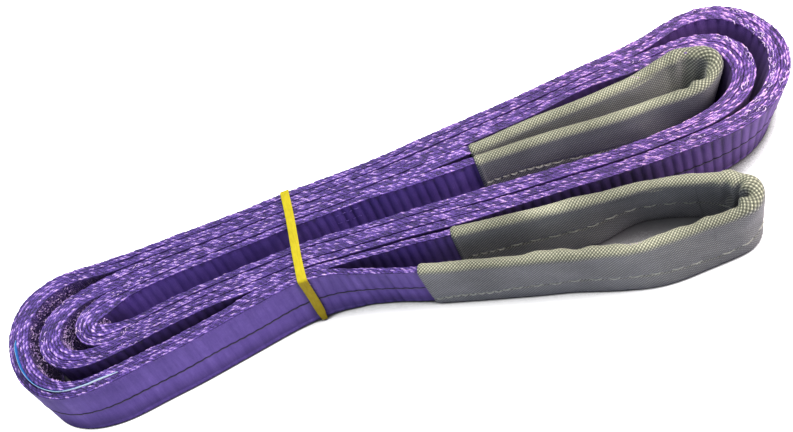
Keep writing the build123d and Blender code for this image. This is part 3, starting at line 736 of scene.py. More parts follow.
class Shader:
    """A material with a Principled surface, and short ways to add nodes to it."""

    def __init__(self, name):
        self.material = bpy.data.materials.new(name)
        self.material.use_nodes = True
        self.tree = self.material.node_tree
        self.tree.nodes.clear()
        output = self.node("OutputMaterial")
        self.surface = self.node("BsdfPrincipled")
        self.tree.links.new(self.surface.outputs[0], output.inputs[0])

    def node(self, kind):
        return self.tree.nodes.new("ShaderNode" + kind)

    def feed(self, socket, value):
        if isinstance(value, bpy.types.NodeSocket):
            self.tree.links.new(value, socket)
        else:
            socket.default_value = value

    def set(self, **values):
        """Surface inputs by name, with _ for each space."""
        for key, value in values.items():
            self.feed(self.surface.inputs[key.replace("_", " ")], value)

    def math(self, operation, a, b=0.0, clamp=False):
        node = self.node("Math")
        node.operation = operation
        node.use_clamp = clamp
        for socket, value in zip(node.inputs, (a, b, 0.0)):
            self.feed(socket, value)
        return node.outputs[0]

    def total(self, first, *others):
        for other in others:
            first = self.math("ADD", first, other)
        return first

    def minus(self, a, b, clamp=False):
        return self.math("SUBTRACT", a, b, clamp)

    def times(self, a, b, clamp=False):
        return self.math("MULTIPLY", a, b, clamp)

    def swing(self, value, amount):
        """A 0..1 value turned into a swing about zero."""
        return self.times(self.minus(value, 0.5), amount)

    def weigh(self, a, share_a, b, share_b):
        return self.total(self.times(a, share_a), self.times(b, share_b))

    def mix(self, factor, a, b, blend="MIX"):
        node = self.node("Mix")
        node.data_type = "RGBA"
        node.blend_type = blend
        for i, value in ((0, factor), (6, a), (7, b)):
            self.feed(node.inputs[i], value)
        return node.outputs[2]

    def ramp(self, factor, stops):
        """Colour ramp: stops are (position, display colour)."""
        stops = [(position, linear(rgb)) for position, rgb in stops]
        node = self.node("ValToRGB")
        elements = node.color_ramp.elements
        elements[0].position, elements[0].color = stops[0]
        elements[1].position, elements[1].color = stops[-1]
        for position, colour in stops[1:-1]:
            elements.new(position).color = colour
        self.feed(node.inputs[0], factor)
        return node.outputs[0]

    def attribute(self, name):
        node = self.node("Attribute")
        node.attribute_name = name
        return node.outputs["Fac"]

    def xyz(self, vector):
        node = self.node("SeparateXYZ")
        self.tree.links.new(vector, node.inputs[0])
        return node.outputs

    def uv(self):
        node = self.node("UVMap")
        node.uv_map = "weave"
        return self.xyz(node.outputs[0])[:2]

    def position(self):
        return self.node("TexCoord").outputs["Object"]

    def normal_z(self):
        return self.xyz(self.node("NewGeometry").outputs["Normal"])[2]

    def noise(self, vector, scale, detail=2.0, rough=0.5):
        node = self.node("TexNoise")
        node.inputs["Scale"].default_value = scale
        node.inputs["Detail"].default_value = detail
        node.inputs["Roughness"].default_value = rough
        self.tree.links.new(vector, node.inputs["Vector"])
        return node.outputs["Fac"]

    def streaks(self, uv, scales, detail=2.0, rough=0.5):
        """Noise on the UVs, with its own scale along and across the piece."""
        node = self.node("CombineXYZ")
        self.feed(node.inputs[0], self.times(uv[0], scales[0]))
        self.feed(node.inputs[1], self.times(uv[1], scales[1]))
        return self.noise(node.outputs[0], 1.0, detail, rough)

    def occlusion(self, distance, samples):
        node = self.node("AmbientOcclusion")
        node.inputs["Distance"].default_value = distance
        node.samples = samples
        return node.outputs["AO"]

    def bump(self, height, strength, distance):
        node = self.node("Bump")
        node.inputs["Strength"].default_value = strength
        node.inputs["Distance"].default_value = distance
        self.feed(node.inputs["Height"], height)
        self.tree.links.new(node.outputs[0], self.surface.inputs["Normal"])


def web_material():
    sh = Shader("violet_web")
    uv = u, v = sh.uv()
    ridge, edge, tone = sh.attribute("ridge"), sh.attribute("edge"), sh.attribute("tone")
    fleck, speck = sh.attribute("fleck"), sh.attribute("speck")
    # filaments: fine streaks along each plaited yarn on the edges,
    # crosswise on the faces, where the weft lies across the web
    skewed = sh.total(u, sh.times(v, 1.6)), v
    edge_long = sh.streaks(skewed, (1.0, 3.4), detail=3.0, rough=0.7)
    edge_fine = sh.streaks(skewed, (2.1, 2.6), detail=2.0, rough=0.6)
    weft = sh.streaks(uv, (3.6, 0.22), detail=3.0, rough=0.6)
    warp = sh.streaks(uv, (0.5, 3.2))
    bands = sh.streaks(uv, (0.55, 0.05))
    blotch = sh.streaks(uv, (0.04, 0.07), detail=3.0, rough=0.55)
    face_filament = sh.weigh(weft, 0.6, warp, 0.4)
    filament = sh.total(sh.times(edge, edge_long),
                        sh.times(sh.minus(1.0, edge), face_filament))
    # painted shade: the rib crests (ridge) come out lighter and their grooves darker; tone,
    # blotch and bands vary at random
    face_tone = sh.total(
        sh.total(sh.times(ridge, 0.55), sh.swing(filament, 0.62)),
        sh.total(sh.times(tone, 0.5), sh.swing(blotch, 0.45)),
        sh.swing(bands, 0.30))
    face = sh.ramp(face_tone, [
        (0.0, (30, 20, 66)), (0.30, (76, 55, 136)), (0.62, (105, 82, 170)),
        (0.85, (136, 110, 196)), (1.0, (172, 146, 218))])
    # plaited edges: painted shade between the yarns, painted highlight in lilac on the crowns,
    # and some yarns brighter at random, with a painted sheen on their crowns
    sheen_on_bright_yarns = sh.times(sh.math("GREATER_THAN", fleck, 0.66), sh.times(ridge, 0.30))
    edge_tone = sh.total(
        sh.times(ridge, 0.46), sh.swing(filament, 1.15), sh.swing(edge_fine, 1.2),
        sh.total(sh.swing(fleck, 0.36), sheen_on_bright_yarns), sh.swing(blotch, 0.25))
    yarn_stops = [
        (0.0, (24, 12, 54)), (0.22, (62, 40, 118)), (0.48, (100, 72, 170)),
        (0.70, (146, 112, 208)), (0.86, (198, 164, 232)), (1.0, (240, 214, 244))]
    plait = sh.ramp(edge_tone, yarn_stops)
    # bunched-up yarns on the inward faces of the tight folds
    knots = sh.streaks(uv, (1.5, 1.9), detail=2.0, rough=0.7)
    patches = sh.streaks(uv, (0.4, 0.3))
    bunch_tone = sh.total(sh.swing(knots, 4.4), sh.total(0.36, sh.minus(patches, 0.5)))
    face = sh.mix(speck, face, sh.ramp(bunch_tone, yarn_stops))
    colour = sh.mix(edge, face, plait)
    # painted warm light: a little pinker towards +X; painted shade: dark down in the gaps,
    # from ambient occlusion
    x = sh.xyz(sh.position())[0]
    right = sh.times(sh.total(x, 0.01), 7.0, clamp=True)
    colour = sh.mix(right, colour, sh.mix(1.0, colour, (1.16, 1.0, 0.90, 1.0), "MULTIPLY"))
    open_air = sh.math("POWER", sh.occlusion(distance=0.011, samples=5), 1.1)
    light = sh.math("MAXIMUM", open_air, sh.total(0.22, sh.times(edge, 0.34)))
    colour = sh.mix(sh.minus(1.0, light), colour, (0.006, 0.003, 0.018, 1.0))
    sh.set(Base_Color=colour, Specular_IOR_Level=0.4, Sheen_Weight=0.12, Sheen_Roughness=0.4,
           Sheen_Tint=linear((200, 180, 235)),
           Roughness=sh.total(0.42, sh.times(filament, 0.3)))
    height = sh.total(filament, sh.times(speck, sh.times(knots, 2.5)))
    sh.bump(height, strength=0.6, distance=0.00025)
    return sh.material


def sleeve_material():
    sh = Shader("grey_sleeve")
    uv = sh.uv()
    fine = sh.streaks(uv, (1.7, 1.7), detail=3.0, rough=0.6)
    filament = sh.streaks(uv, (6.0, 1.3))
    blotch = sh.streaks(uv, (0.05, 0.09), detail=3.0)
    # painted highlight on the weave's crossings and painted shade between them, from ridge;
    # tone varies at random along the sleeve and is low on the inner skin as painted shade
    shade = sh.total(
        sh.times(sh.attribute("ridge"), 0.92), sh.swing(fine, 0.35),
        sh.total(sh.times(sh.attribute("tone"), 0.35), sh.swing(blotch, 0.28)))
    # painted light: warm and lit where the cloth faces up, cool grey and shaded on the sides
    painted_top_light = sh.times(sh.total(sh.normal_z(), 0.1), 1.3, clamp=True)
    shaded_side_grey = sh.ramp(shade, [
        (0.0, (52, 54, 58)), (0.30, (98, 100, 106)), (0.55, (132, 134, 142)),
        (0.78, (170, 173, 178)), (1.0, (206, 208, 208))])
    lit_top_warm = sh.ramp(shade, [
        (0.0, (34, 37, 32)), (0.30, (92, 95, 82)), (0.52, (140, 143, 125)),
        (0.74, (196, 198, 174)), (1.0, (232, 232, 210))])
    sh.set(Base_Color=sh.mix(painted_top_light, shaded_side_grey, lit_top_warm), Specular_IOR_Level=0.3, Sheen_Weight=0.1,
           Sheen_Roughness=0.5, Roughness=sh.total(0.6, sh.times(filament, 0.25)))
    sh.bump(sh.weigh(fine, 0.4, filament, 0.6), strength=0.4, distance=0.0002)
    return sh.material


def thread_material(name, dark, mid, light, rough=0.55):
    sh = Shader(name)
    position = sh.position()
    fine = sh.noise(position, 1400.0, detail=3.0, rough=0.6)
    broad = sh.noise(position, 1400.0 * 0.13)
    tone = sh.weigh(fine, 0.7, broad, 0.3)
    sh.set(Base_Color=sh.ramp(tone, [(0.28, dark), (0.5, mid), (0.72, light)]),
           Roughness=rough, Specular_IOR_Level=0.35, Sheen_Weight=0.1)
    sh.bump(fine, strength=0.5, distance=0.00015)
    return sh.material


def label_material():
    sh = Shader("blue_label")
    position = sh.position()
    grain = sh.noise(position, 2600.0)
    cloud = sh.noise(position, 160.0)
    tone = sh.total(sh.swing(grain, 0.25),
                    sh.total(sh.attribute("tone"), sh.swing(cloud, 0.4)))
    colour = sh.ramp(tone, [
        (0.0, (16, 64, 140)), (0.45, (34, 116, 186)), (0.7, (150, 196, 232)),
        (1.0, (222, 238, 250))])
    sh.set(Base_Color=colour, Roughness=sh.total(0.35, sh.times(grain, 0.2)),
           Specular_IOR_Level=0.45)
    sh.bump(grain, strength=0.25, distance=0.0001)
    return sh.material


def band_material():
    sh = Shader("yellow_band")
    position = sh.position()
    strands = sh.streaks(sh.uv(), (0.25, 2.6), detail=3.0, rough=0.6)
    cloud = sh.noise(position, 240.0, detail=3.0, rough=0.6)
    grain = sh.noise(position, 3200.0)
    tone = sh.weigh(strands, 0.55, cloud, 0.45)
    # painted light: lighter and yellower where the band faces up, darker on its sides
    painted_top_light = sh.times(sh.minus(sh.normal_z(), 0.05), 1.6, clamp=True)
    top = sh.ramp(tone, [(0.25, (156, 142, 4)), (0.5, (181, 168, 8)), (0.78, (197, 184, 28))])
    side = sh.ramp(tone, [
        (0.25, (134, 116, 6)), (0.5, (162, 143, 12)), (0.78, (180, 162, 32))])
    sh.set(Base_Color=sh.mix(painted_top_light, side, top), Specular_IOR_Level=0.3,
           Roughness=sh.total(0.5, sh.times(grain, 0.2)),
           Subsurface_Weight=0.05, Subsurface_Scale=0.001)
    sh.bump(sh.weigh(strands, 0.7, grain, 0.3), strength=0.35, distance=0.0002)
    return sh.material


WEB = web_material()
SLEEVE = sleeve_material()
PALE = thread_material("pale_thread", (120, 122, 116), (168, 171, 164), (212, 214, 206))
BLACK = thread_material("black_yarn", (12, 8, 22), (26, 18, 42), (62, 48, 92), rough=0.5)
VIOLET = thread_material("violet_thread", (48, 32, 104), (92, 70, 160), (150, 124, 214))
LILAC = thread_material("lilac_thread", (136, 108, 186), (200, 172, 224), (246, 226, 244),
                        rough=0.42)
DUSKY = thread_material("dusky_thread", (104, 74, 152), (172, 138, 206), (240, 218, 240),
                        rough=0.45)
LABEL = label_material()
BAND = band_material()

# ------------------------------------------------------------------ the web
TOP_POINTS, FACE_POINTS, BOTTOM_POINTS = 17, 11, 9
face_heights = np.linspace(-1, 1, FACE_POINTS)
# One ply's section, clockwise seen along the path: part, and offset across (edges)
# or height -1..1 (faces)
PROFILE = (
    [("top", across) for across in np.linspace(-HALF_PLY, HALF_PLY, TOP_POINTS)[::-1]]
    + [("right", height) for height in face_heights[::-1]]
    + [("bottom", across) for across in np.linspace(-HALF_PLY, HALF_PLY, BOTTOM_POINTS)]
    + [("left", height) for height in face_heights])


def grains(dist, across, seed):
    """Plaited yarns along an edge: crown height 0..1 and a random number per yarn."""
    width = 2 * HALF_PLY / EDGE_ROWS
    row = np.clip(np.floor((across + HALF_PLY) / width), 0, EDGE_ROWS - 1)
    x = (across - (-HALF_PLY + width * (row + 0.5))) / (width / 2)
    section = np.sqrt(np.clip(1 - 0.92 * x * x, 0, 1))
    phase = (dist / GRAIN_PITCH + 0.34 * x + 0.41 * row
             + 0.16 * wobble(seed + 20 + int(row), dist / 5.3)
             + 0.10 * np.sin(dist * 0.9 + 2.1 * row))
    cell = np.floor(phase)
    crown = np.clip(np.sin(math.pi * (phase - cell)), 0, 1) ** 0.6
    return section * (0.2 + 0.8 * crown), hash01(cell, row, seed * 0.17)


def web_rings(ids):
    """Rings of one ply along these samples, their distances and their point values."""
    dist = distances(ids)
    phase = RIB_PHASE[ids]
    rib_id = np.floor(phase)
    rib = rib_height(phase)
    rib_amount = 0.8 + 0.4 * hash01(rib_id, 3)
    # where the plies part in a fold, their edges swell and close the gap on top
    swell = np.maximum(np.clip((GAP[ids] - 0.25) / 2, 0, 2.2), FILL_LEFT[ids])
    bulge = np.maximum(BULGE[ids], FILL_RIGHT[ids])
    merge_left = np.clip(swell / 0.6, 0, 1)
    merge_right = np.clip(FILL_RIGHT[ids] / 0.6, 0, 1)
    top_z, bottom_z = TOP_Z - 0.25, BOTTOM_Z
    face_top, face_bottom = top_z - 0.8, bottom_z + 0.8

    def top_edge(across):
        grain, fleck = grains(dist, across, 5)
        rim = abs(across) / HALF_PLY
        drop = (0.30 + 0.16 * wobble(91 + int(across > 0), dist / 1.9)) * rim ** 4
        free = (FREE_LEFT if across > 0 else FREE_RIGHT)[ids]
        scallop = 0.30 * rim ** 2 * (1 - rib) * free
        crown = (0.74 * grain + (fleck - 0.5) * 0.52 - 0.36
                 + 0.16 * wobble(93, dist / 6.0, across / 1.5))
        wide = across * 0.99 - np.sign(across) * (1 - grain) * 0.12 * rim ** 3
        if across > 0:
            drop = drop * (1 - 0.8 * merge_left)
            wide = wide + 0.24 * merge_left * rim ** 3
        else:
            drop = drop * (1 - 0.6 * merge_right)
            wide = wide - 0.12 * merge_right * rim ** 3
        f = (across + HALF_PLY) / (2 * HALF_PLY)
        return {"off": wide + swell * f - bulge * (1 - f),
                "z": top_z - drop - scallop + crown * (1 - 0.5 * rim ** 4),
                "ridge": grain, "fleck": fleck, "edge": 1.0}

    def bottom_edge(across):
        grain, fleck = grains(dist, across, 9)
        rim = abs(across) / HALF_PLY
        return {"off": across * 0.99,
                "z": bottom_z + 0.6 * rim ** 4 - np.minimum(0.0, 0.5 * grain - 0.5),
                "ridge": grain, "fleck": fleck, "edge": 1.0}

    def face(side, height):
        amount = (RIB_LEFT if side > 0 else RIB_RIGHT)[ids] * rib_amount
        z = (face_top + face_bottom) / 2 + height * (face_top - face_bottom) / 2
        # ribs fade a little towards the edges, where the weft turns over
        near_edge = abs(height) ** 4
        wave = 0.05 * np.sin(2 * math.pi * phase + height * 2.0)
        depth = amount * (1 - rib + wave) * (1 - 0.25 * near_edge)
        slub = np.clip(wobble(33 + side, dist / 2.3, z / 2.0), -1, 1) * 0.05
        inset = depth + 0.05 + slub + 0.10 * abs(height) ** 8
        f = np.clip(height + 0.1, 0, 1)
        f = f * f * (3 - 2 * f)
        # the material paints shade from this ridge: darker in the rib grooves, and a little
        # towards the edges
        ridge = 1 - (1 - rib) * np.clip(amount / 0.4, 0.12, 1.1)
        return {"off": side * (HALF_PLY - inset) + (swell if side > 0 else -bulge) * f,
                "z": z,
                "ridge": 0.30 + 0.70 * ridge - 0.10 * near_edge,
                "edge": 0.5 if abs(height) > 0.97 else 0.0,
                "tone": (hash01(rib_id, 10 + side) - 0.5) * 0.26,
                "speck": 0.0 if side > 0 else SPECK[ids]}

    shape = (len(ids), len(PROFILE))
    values = {key: np.zeros(shape) for key in ("off", "z", "ridge", "edge", "tone")}
    values["fleck"] = np.full(shape, 0.5)
    values["speck"] = np.zeros(shape)
    for m, (part, value) in enumerate(PROFILE):
        if part == "top":
            column = top_edge(value)
        elif part == "bottom":
            column = bottom_edge(value)
        else:
            column = face(1 if part == "left" else -1, value)
        for key, data in column.items():
            values[key][:, m] = data
    off, z = values.pop("off"), values.pop("z")
    share = (z - MID_Z) / HALF_WIDTH
    z = z + RISE[ids][:, None] * np.clip(share, 0, 1) - DROOP[ids][:, None]
    z = np.maximum(z, 0.06)
    off = off - LEAN[ids][:, None] * share - OUT[ids][:, None]
    return rings_beside(POS[ids], LEFT[ids], off, z), dist, values


def rings_beside(points, left, off, z):
    """Rings from offsets to the left of plan points and heights, both (K, M)."""
    x = points[:, 0][:, None] + left[:, 0][:, None] * off
    y = points[:, 1][:, None] + left[:, 1][:, None] * off
    return np.stack([x, y, z + Z_OFFSET], -1)


# every length of web shares the first one's UVs across
WEB_AROUND = girth(web_rings(samples(0, cut_1))[0])


def web(name, start, end, joint, *replaced):
    rings, dist, values = web_rings(samples(start, end))
    ob = tube(name, rings, WEB, dist, WEB_AROUND, values)
    place(ob, joint, *replaced)


def fold_joint(first, second, start, end, inset=3.0):
    """Bend between two bodies, its ends a little inside the two body samples."""
    a, b = MID[start], MID[end]
    d = (b - a) / np.linalg.norm(b - a)
    a, b = a + d * inset, b - d * inset
    return first, second, (a[0], a[1], MID_Z), (b[0], b[1], MID_Z)


BEND_1 = fold_joint("coil", "fold_a", bend_0, bend_1)
BEND_2 = fold_joint("fold_a", "fold_b", bend_1, bend_2)
BEND_3 = fold_joint("fold_b", "tail", bend_2, bend_3)

# At the divide both plies turn together, then the near one opens.
divide = body_at(-39.2, -24, .9, 1)
swing_end = crossing(-25.6, OUTER_END, OUTER_END + 200)
open_end = crossing(-13.2, OUTER_END, OUTER_END + 300)
rear_end = crossing(-20.0, FREE_END - 300, FREE_END)
swing_y = POS[divide, 1]
SWING = ("tail", "free_eye_rear", (-37.4, swing_y, MID_Z), (-27.2, swing_y, MID_Z))
OPENING = ("free_eye_rear", "free_eye_front", (-23.6, -8, MID_Z), (-15.2, -8, MID_Z))
TIP = ("free_eye_rear", "free_eye_front", (120, -34.0, MID_Z), (120, -45.5, MID_Z))

# name, first and last loop sample, body or bend, pieces replaced
for length in (
        ("first_turn_web_outer", 0, cut_1, "coil", "first_turn_outer_ply"),
        ("first_turn_web_inner", inner(cut_1), inner(0), "coil", "first_turn_inner_ply"),
        ("second_turn_web_outer", cut_1, cut_2, "coil", "second_turn_outer_ply"),
        ("second_turn_web_inner_start", inner(web_end), inner(cut_1), "coil",
         "second_turn_inner_ply_start"),
        ("second_turn_web_inner_end", inner(cut_2), inner(web_end), "coil",
         "second_turn_inner_ply_end"),
        ("third_turn_web_outer", cut_2, bend_0, "coil", "third_turn_outer_ply"),
        ("third_turn_web_inner", inner(bend_0), inner(cut_2), "coil",
         "third_turn_inner_ply"),
        ("fold_web_outer_1", bend_0, bend_1, BEND_1, "unroll_fold_outer_ply_a"),
        ("fold_web_inner_1", inner(bend_1), inner(bend_0), BEND_1,
         "unroll_fold_inner_ply_a"),
        ("fold_web_outer_2", bend_1, bend_2, BEND_2,
         "unroll_fold_outer_ply_a", "unroll_fold_outer_ply_b"),
        ("fold_web_inner_2", inner(bend_2), inner(bend_1), BEND_2,
         "unroll_fold_inner_ply_a", "unroll_fold_inner_ply_b"),
        ("fold_web_outer_3", bend_2, bend_3, BEND_3, "unroll_fold_outer_ply_b"),
        ("fold_web_inner_3", inner(bend_3), inner(bend_2), BEND_3,
         "unroll_fold_inner_ply_b"),
        ("tail_web_outer", bend_3, divide, "tail", "tail_outer_ply"),
        ("tail_web_inner", inner(divide), inner(bend_3), "tail", "tail_inner_ply"),
        ("eye_divide_web_front_1", divide, swing_end, SWING, "free_eye_divide_front_ply"),
        ("eye_divide_web_front_2", swing_end, open_end, OPENING,
         "free_eye_divide_front_ply"),
        ("eye_divide_web_rear", rear_end, inner(divide), SWING, "free_eye_divide_rear_ply"),
        ("free_eye_web_front_leg", open_end, tip_front, "free_eye_front",
         "free_eye_front_leg"),
        ("free_eye_web_tip", tip_front, tip_rear, TIP, "free_eye_tip"),
        ("free_eye_web_rear_leg", tip_rear, rear_end, "free_eye_rear", "free_eye_rear_leg"),
        ("buried_eye_web_loop", INNER_END - 1, 0, "coil", "buried_eye_web")):
    web(*length)


# -------------------------------------------------------------- the sleeves
SLEEVE_POINTS = 184
SLEEVE_RADIUS = 2.75                      # of the rounded top and bottom
SLEEVE_BOTTOM, SLEEVE_TOP = 0.05, 31.75
SLEEVE_WALL = 0.62
sleeve_skins = []     # outer skins as built, for the stitches that lie on them


def sleeve_profile(inset):
    """Evenly spaced rounded slot, clockwise from its upper left.

    Returns offset, height, outward normal (across, up) and distance round.
    """
    radius = SLEEVE_RADIUS - inset
    low, high = SLEEVE_BOTTOM + inset, SLEEVE_TOP - inset
    reach = (high - low) / 2 - radius
    straight, arc = 2 * reach, math.pi * radius
    around = (np.arange(SLEEVE_POINTS) + 0.5) * (2 * straight + 2 * arc) / SLEEVE_POINTS
    rows = []
    for d in around:
        if d < arc:                                  # over the top
            across, up = math.cos(d / radius), math.sin(d / radius)
            z = reach + radius * up
        elif d < arc + straight:                     # down the right-hand side
            across, up = -1, 0
            z = reach - (d - arc)
        elif d < 2 * arc + straight:                 # under the bottom
            turn = (d - arc - straight) / radius
            across, up = -math.cos(turn), -math.sin(turn)
            z = -reach + radius * up
        else:                                        # up the left-hand side
            across, up = 1, 0
            z = -reach + (d - 2 * arc - straight)
        rows.append((radius * across, z + (low + high) / 2, across, up, d))
    return np.array(rows, float).T


def sleeve_reach(dist, side, z):
    """How far the sleeve's skin stands off the middle of the web there."""
    for rows, height, across, off in sleeve_skins:
        if rows[0] - 0.6 <= dist <= rows[-1] + 0.6:
            k = int(np.clip(np.searchsorted(rows, dist), 2, len(rows) - 3))
            flat = np.where(across * side > 0.95)[0]
            close = flat[np.argsort(np.abs(height[flat] - z))[:4]]
            return abs(float(np.mean(off[k - 2:k + 3][:, close])))
    return 3.0


# Seam groove: from sample, to sample, (fraction of the way, height)
SEAM_KNOTS = [
    (sleeve_front, tip_front, [(0.0, 5.8), (0.17, 8.4), (0.34, 10.6), (0.5, 12.2),
                               (0.67, 12.7), (0.84, 10.6), (1.0, 8.2)]),
    (tip_front, tip_rear, [(0.33, 9.0), (0.66, 12.0)]),
    (tip_rear, sleeve_rear, [(0.0, 15.0), (0.25, 16.0), (0.5, 15.5), (0.75, 14.5),
                             (1.0, 13.0)]),
    (buried_near, buried_far, [(0.0, 16.8), (0.11, 16.6), (0.22, 14.0), (0.34, 12.0),
                               (0.66, 12.0), (0.83, 14.0), (1.0, 16.0)]),
]
SEAM_DIST = [DIST[int(start + f * (end - start))]
             for start, end, knots in SEAM_KNOTS for f, _ in knots]
SEAM_HEIGHT = [height for _, _, knots in SEAM_KNOTS for _, height in knots]


def sleeve(name, start, end, joint, replaced, mouths, seed, slack=None, crumple=None):
    """Woven sleeve with both skins, joined at the ends.

    mouths says which ends are open hems; slack(dist) scales the wrinkles and
    crumple(dist, height, across) adds creases.
    """
    ids = samples(start, end)
    ids_dist = distances(ids)
    # whole number of threads between the ends, so neighbouring sleeves join
    n = 4 * max(1, int(round((ids_dist[-1] - ids_dist[0]) / (2 * WEAVE))))
    dist = np.linspace(ids_dist[0], ids_dist[-1], n + 1)
    at = np.interp(dist, ids_dist, np.arange(len(ids)))
    low = np.clip(np.floor(at).astype(int), 0, len(ids) - 2)
    f = (at - low)[:, None]
    points = POS[ids[low]] + (POS[ids[low + 1]] - POS[ids[low]]) * f
    left = LEFT[ids[low]] + (LEFT[ids[low + 1]] - LEFT[ids[low]]) * f
    left /= np.linalg.norm(left, axis=1)[:, None]
    lean = np.interp(dist, ids_dist, LEAN[ids])[:, None]
    out = np.interp(dist, ids_dist, OUT[ids])[:, None]
    seam_z = np.interp(dist, SEAM_DIST, SEAM_HEIGHT)[:, None]
    loose = (np.ones(n + 1) if slack is None else slack(dist))[:, None]
    mouth = np.full(n + 1, 999.0)
    if mouths[0]:
        mouth = np.minimum(mouth, dist - dist[0])
    if mouths[1]:
        mouth = np.minimum(mouth, dist[-1] - dist)

    def skin(inset):
        off0, height, across, up, around = sleeve_profile(inset)
        along, girth_at = np.meshgrid(dist, around, indexing="ij")
        z_row, n_row = height[None, :], across[None, :]
        # wrinkles and slack, larger high up on the left-hand side (inside the eye)
        inside = 0.5 + 0.5 * n_row
        upper = np.clip((z_row - 14) / 17, 0, 1)
        fine = 0.20 * wobble(seed, along / 5.2, girth_at / 6.5)
        finer = 0.09 * wobble(seed + 1, along / 2.4, girth_at / 4.2)
        broad = 0.34 * wobble(seed + 2, along / 11.0, girth_at / 30.0)
        stand = loose * (fine + finer + broad * (0.35 + 0.65 * inside) * (0.4 + 0.6 * upper))
        stand = stand + loose * 0.16
        if crumple is not None:
            stand = stand + crumple(along, z_row, n_row)
        # the seam pinches the cloth, and keeps it flatter below
        pinch = np.exp(-((z_row - seam_z) / 0.85) ** 2) * (np.abs(n_row) > 0.9)
        below = np.clip((seam_z - z_row) / 2.0, 0, 1)
        stand = stand * (1 - 0.55 * below * (np.abs(n_row) > 0.5)) - 0.42 * pinch
        stand = np.clip(stand, -0.42, 3.5)
        # the mouth is turned in: slightly thicker, then drawn tight
        stand += 0.22 * np.exp(-((mouth[:, None] - 1.3) / 0.9) ** 2)
        stand -= 0.30 * np.exp(-(mouth[:, None] / 0.7) ** 2)
        if inset:
            stand = np.clip(stand, -0.25, 3.2)
            # a low ridge darkens the inner skin: painted shade inside the sleeve
            ridge = np.full(stand.shape, 0.25)
        else:
            # plain weave: alternate crossings stand up
            wave = np.array([0.0, 1.0, 0.0, -1.0])
            row, column = np.arange(n + 1)[:, None], np.arange(SLEEVE_POINTS)[None, :]
            jitter = hash01(row // 2, column // 2, seed)
            crest = wave[row % 4] * wave[column % 4] * (0.7 + 0.6 * jitter)
            stand += 0.19 * crest
            # the material lightens the crossings by this ridge: painted highlight, with
            # painted shade between them
            ridge = np.clip(0.42 + 0.56 * crest, 0, 1)
            sleeve_skins.append((dist, height, across, off0 + n_row * stand))
        share = (z_row - MID_Z) / HALF_WIDTH
        off = off0 + n_row * stand - lean * share - out
        z = np.maximum(z_row + up * stand, 0.04 + inset)
        return rings_beside(points, left, off, z), ridge, around

    outer_rings, outer_ridge, around = skin(0.0)
    inner_rings, inner_ridge, _ = skin(SLEEVE_WALL)
    # the inner skin is coarser and runs back to the start
    back = np.unique(np.concatenate([[0, 2], np.arange(6, n - 1, 6), [n - 2, n]]))[::-1]
    rings = np.concatenate([outer_rings, inner_rings[back]])
    ridge = np.concatenate([outer_ridge, inner_ridge[back]])
    u = np.concatenate([dist, dist[back]])
    v = np.concatenate([around, [around[-1] + (around[1] - around[0])]])
    hem = np.concatenate([np.exp(-((mouth - 1.3) / 0.9) ** 2), np.zeros(len(back))])
    # the inner skin also gets a low tone, painted shade inside the sleeve; the outer skin's
    # tone varies at random
    tone = np.full(ridge.shape, -0.6)
    tone[:n + 1] = 0.16 * wobble(seed + 6, dist / 9.0)[:, None]
    values = {"ridge": ridge, "tone": tone, "hem": np.repeat(hem[:, None], SLEEVE_POINTS, 1)}
    ob = tube(name, rings, SLEEVE, u, v, values, closed=True)
    take_ring_u(ob.data, u)
    place(ob, joint, replaced)


def take_ring_u(mesh, u):
    """U straight from each ring, as the last strip runs back to the outer skin."""
    uv = np.zeros(len(mesh.loops) * 2, np.float32)
    mesh.uv_layers["weave"].data.foreach_get("uv", uv)
    corners = np.zeros(len(mesh.loops), np.int32)
    mesh.loops.foreach_get("vertex_index", corners)
    uv[0::2] = u[corners // SLEEVE_POINTS]
    mesh.uv_layers["weave"].data.foreach_set("uv", uv)


TIP_DIST = (DIST[tip_front] + DIST[tip_rear]) / 2
BURIED_TIP_DIST = (DIST[buried_near] + DIST[buried_far]) / 2


def slack_front(dist):
    return 0.45 + 1.15 * np.clip((dist - DIST[sleeve_front] - 8) / 30, 0, 1)


def slack_rear(dist):
    return 0.20 + 1.2 * np.clip((DIST[sleeve_rear] - dist - 26) / 30, 0, 1)


def slack_buried(dist):
    return 0.15 + 0.75 * np.exp(-((dist - BURIED_TIP_DIST) / 46.0) ** 4)


def crumple_leg(dist, z, across):
    """Slack swells on the leg's inner, upper side."""
    top = np.clip((z - 12) / 18, 0, 1)
    inside = np.clip(0.3 + across, 0, 1)
    d = dist - DIST[sleeve_front]
    window = (np.clip((d - 25) / 20, 0, 1)
              * np.clip((DIST[tip_front] - dist + 6) / 16, 0.25, 1))
    return window * top * inside * (0.62 * np.sin(d * 0.255 + 0.4)
                                    + 0.28 * np.sin(d * 0.53 + 1.2))


def crumple_tip(dist, z, across):
    """Upright creases gathered on the inside of the eye's end."""
    d = dist - TIP_DIST
    window = np.exp(-(d / 13.0) ** 4)
    inside = np.clip(across, 0, 1)
    outside = np.clip(-across, 0, 1)
    top = np.clip((z - 20) / 12, 0, 1)
    crease = np.sin(d * 0.86 + (z - 16) * 0.15 + 0.6 * np.sin(z * 0.35) + 0.5)
    return window * (inside * (1.35 * crease + 0.55)
                     + top * (0.70 * np.sin(d * 0.60 + 0.9) + 0.75)
                     + outside * (0.55 * np.sin(d * 0.42 + z * 0.12) + 0.3))


def crumple_buried(dist, z, across):
    d = dist - BURIED_TIP_DIST
    window = np.exp(-(d / 15.0) ** 4)
    top = np.clip((z - 18) / 12, 0, 1)
    inside = np.clip(across, 0, 1)
    return window * (inside * 0.9 * np.sin(d * 0.8 + 0.12 * z)
                     + top * (0.5 * np.sin(d * 0.55 + 0.8) + 0.25))


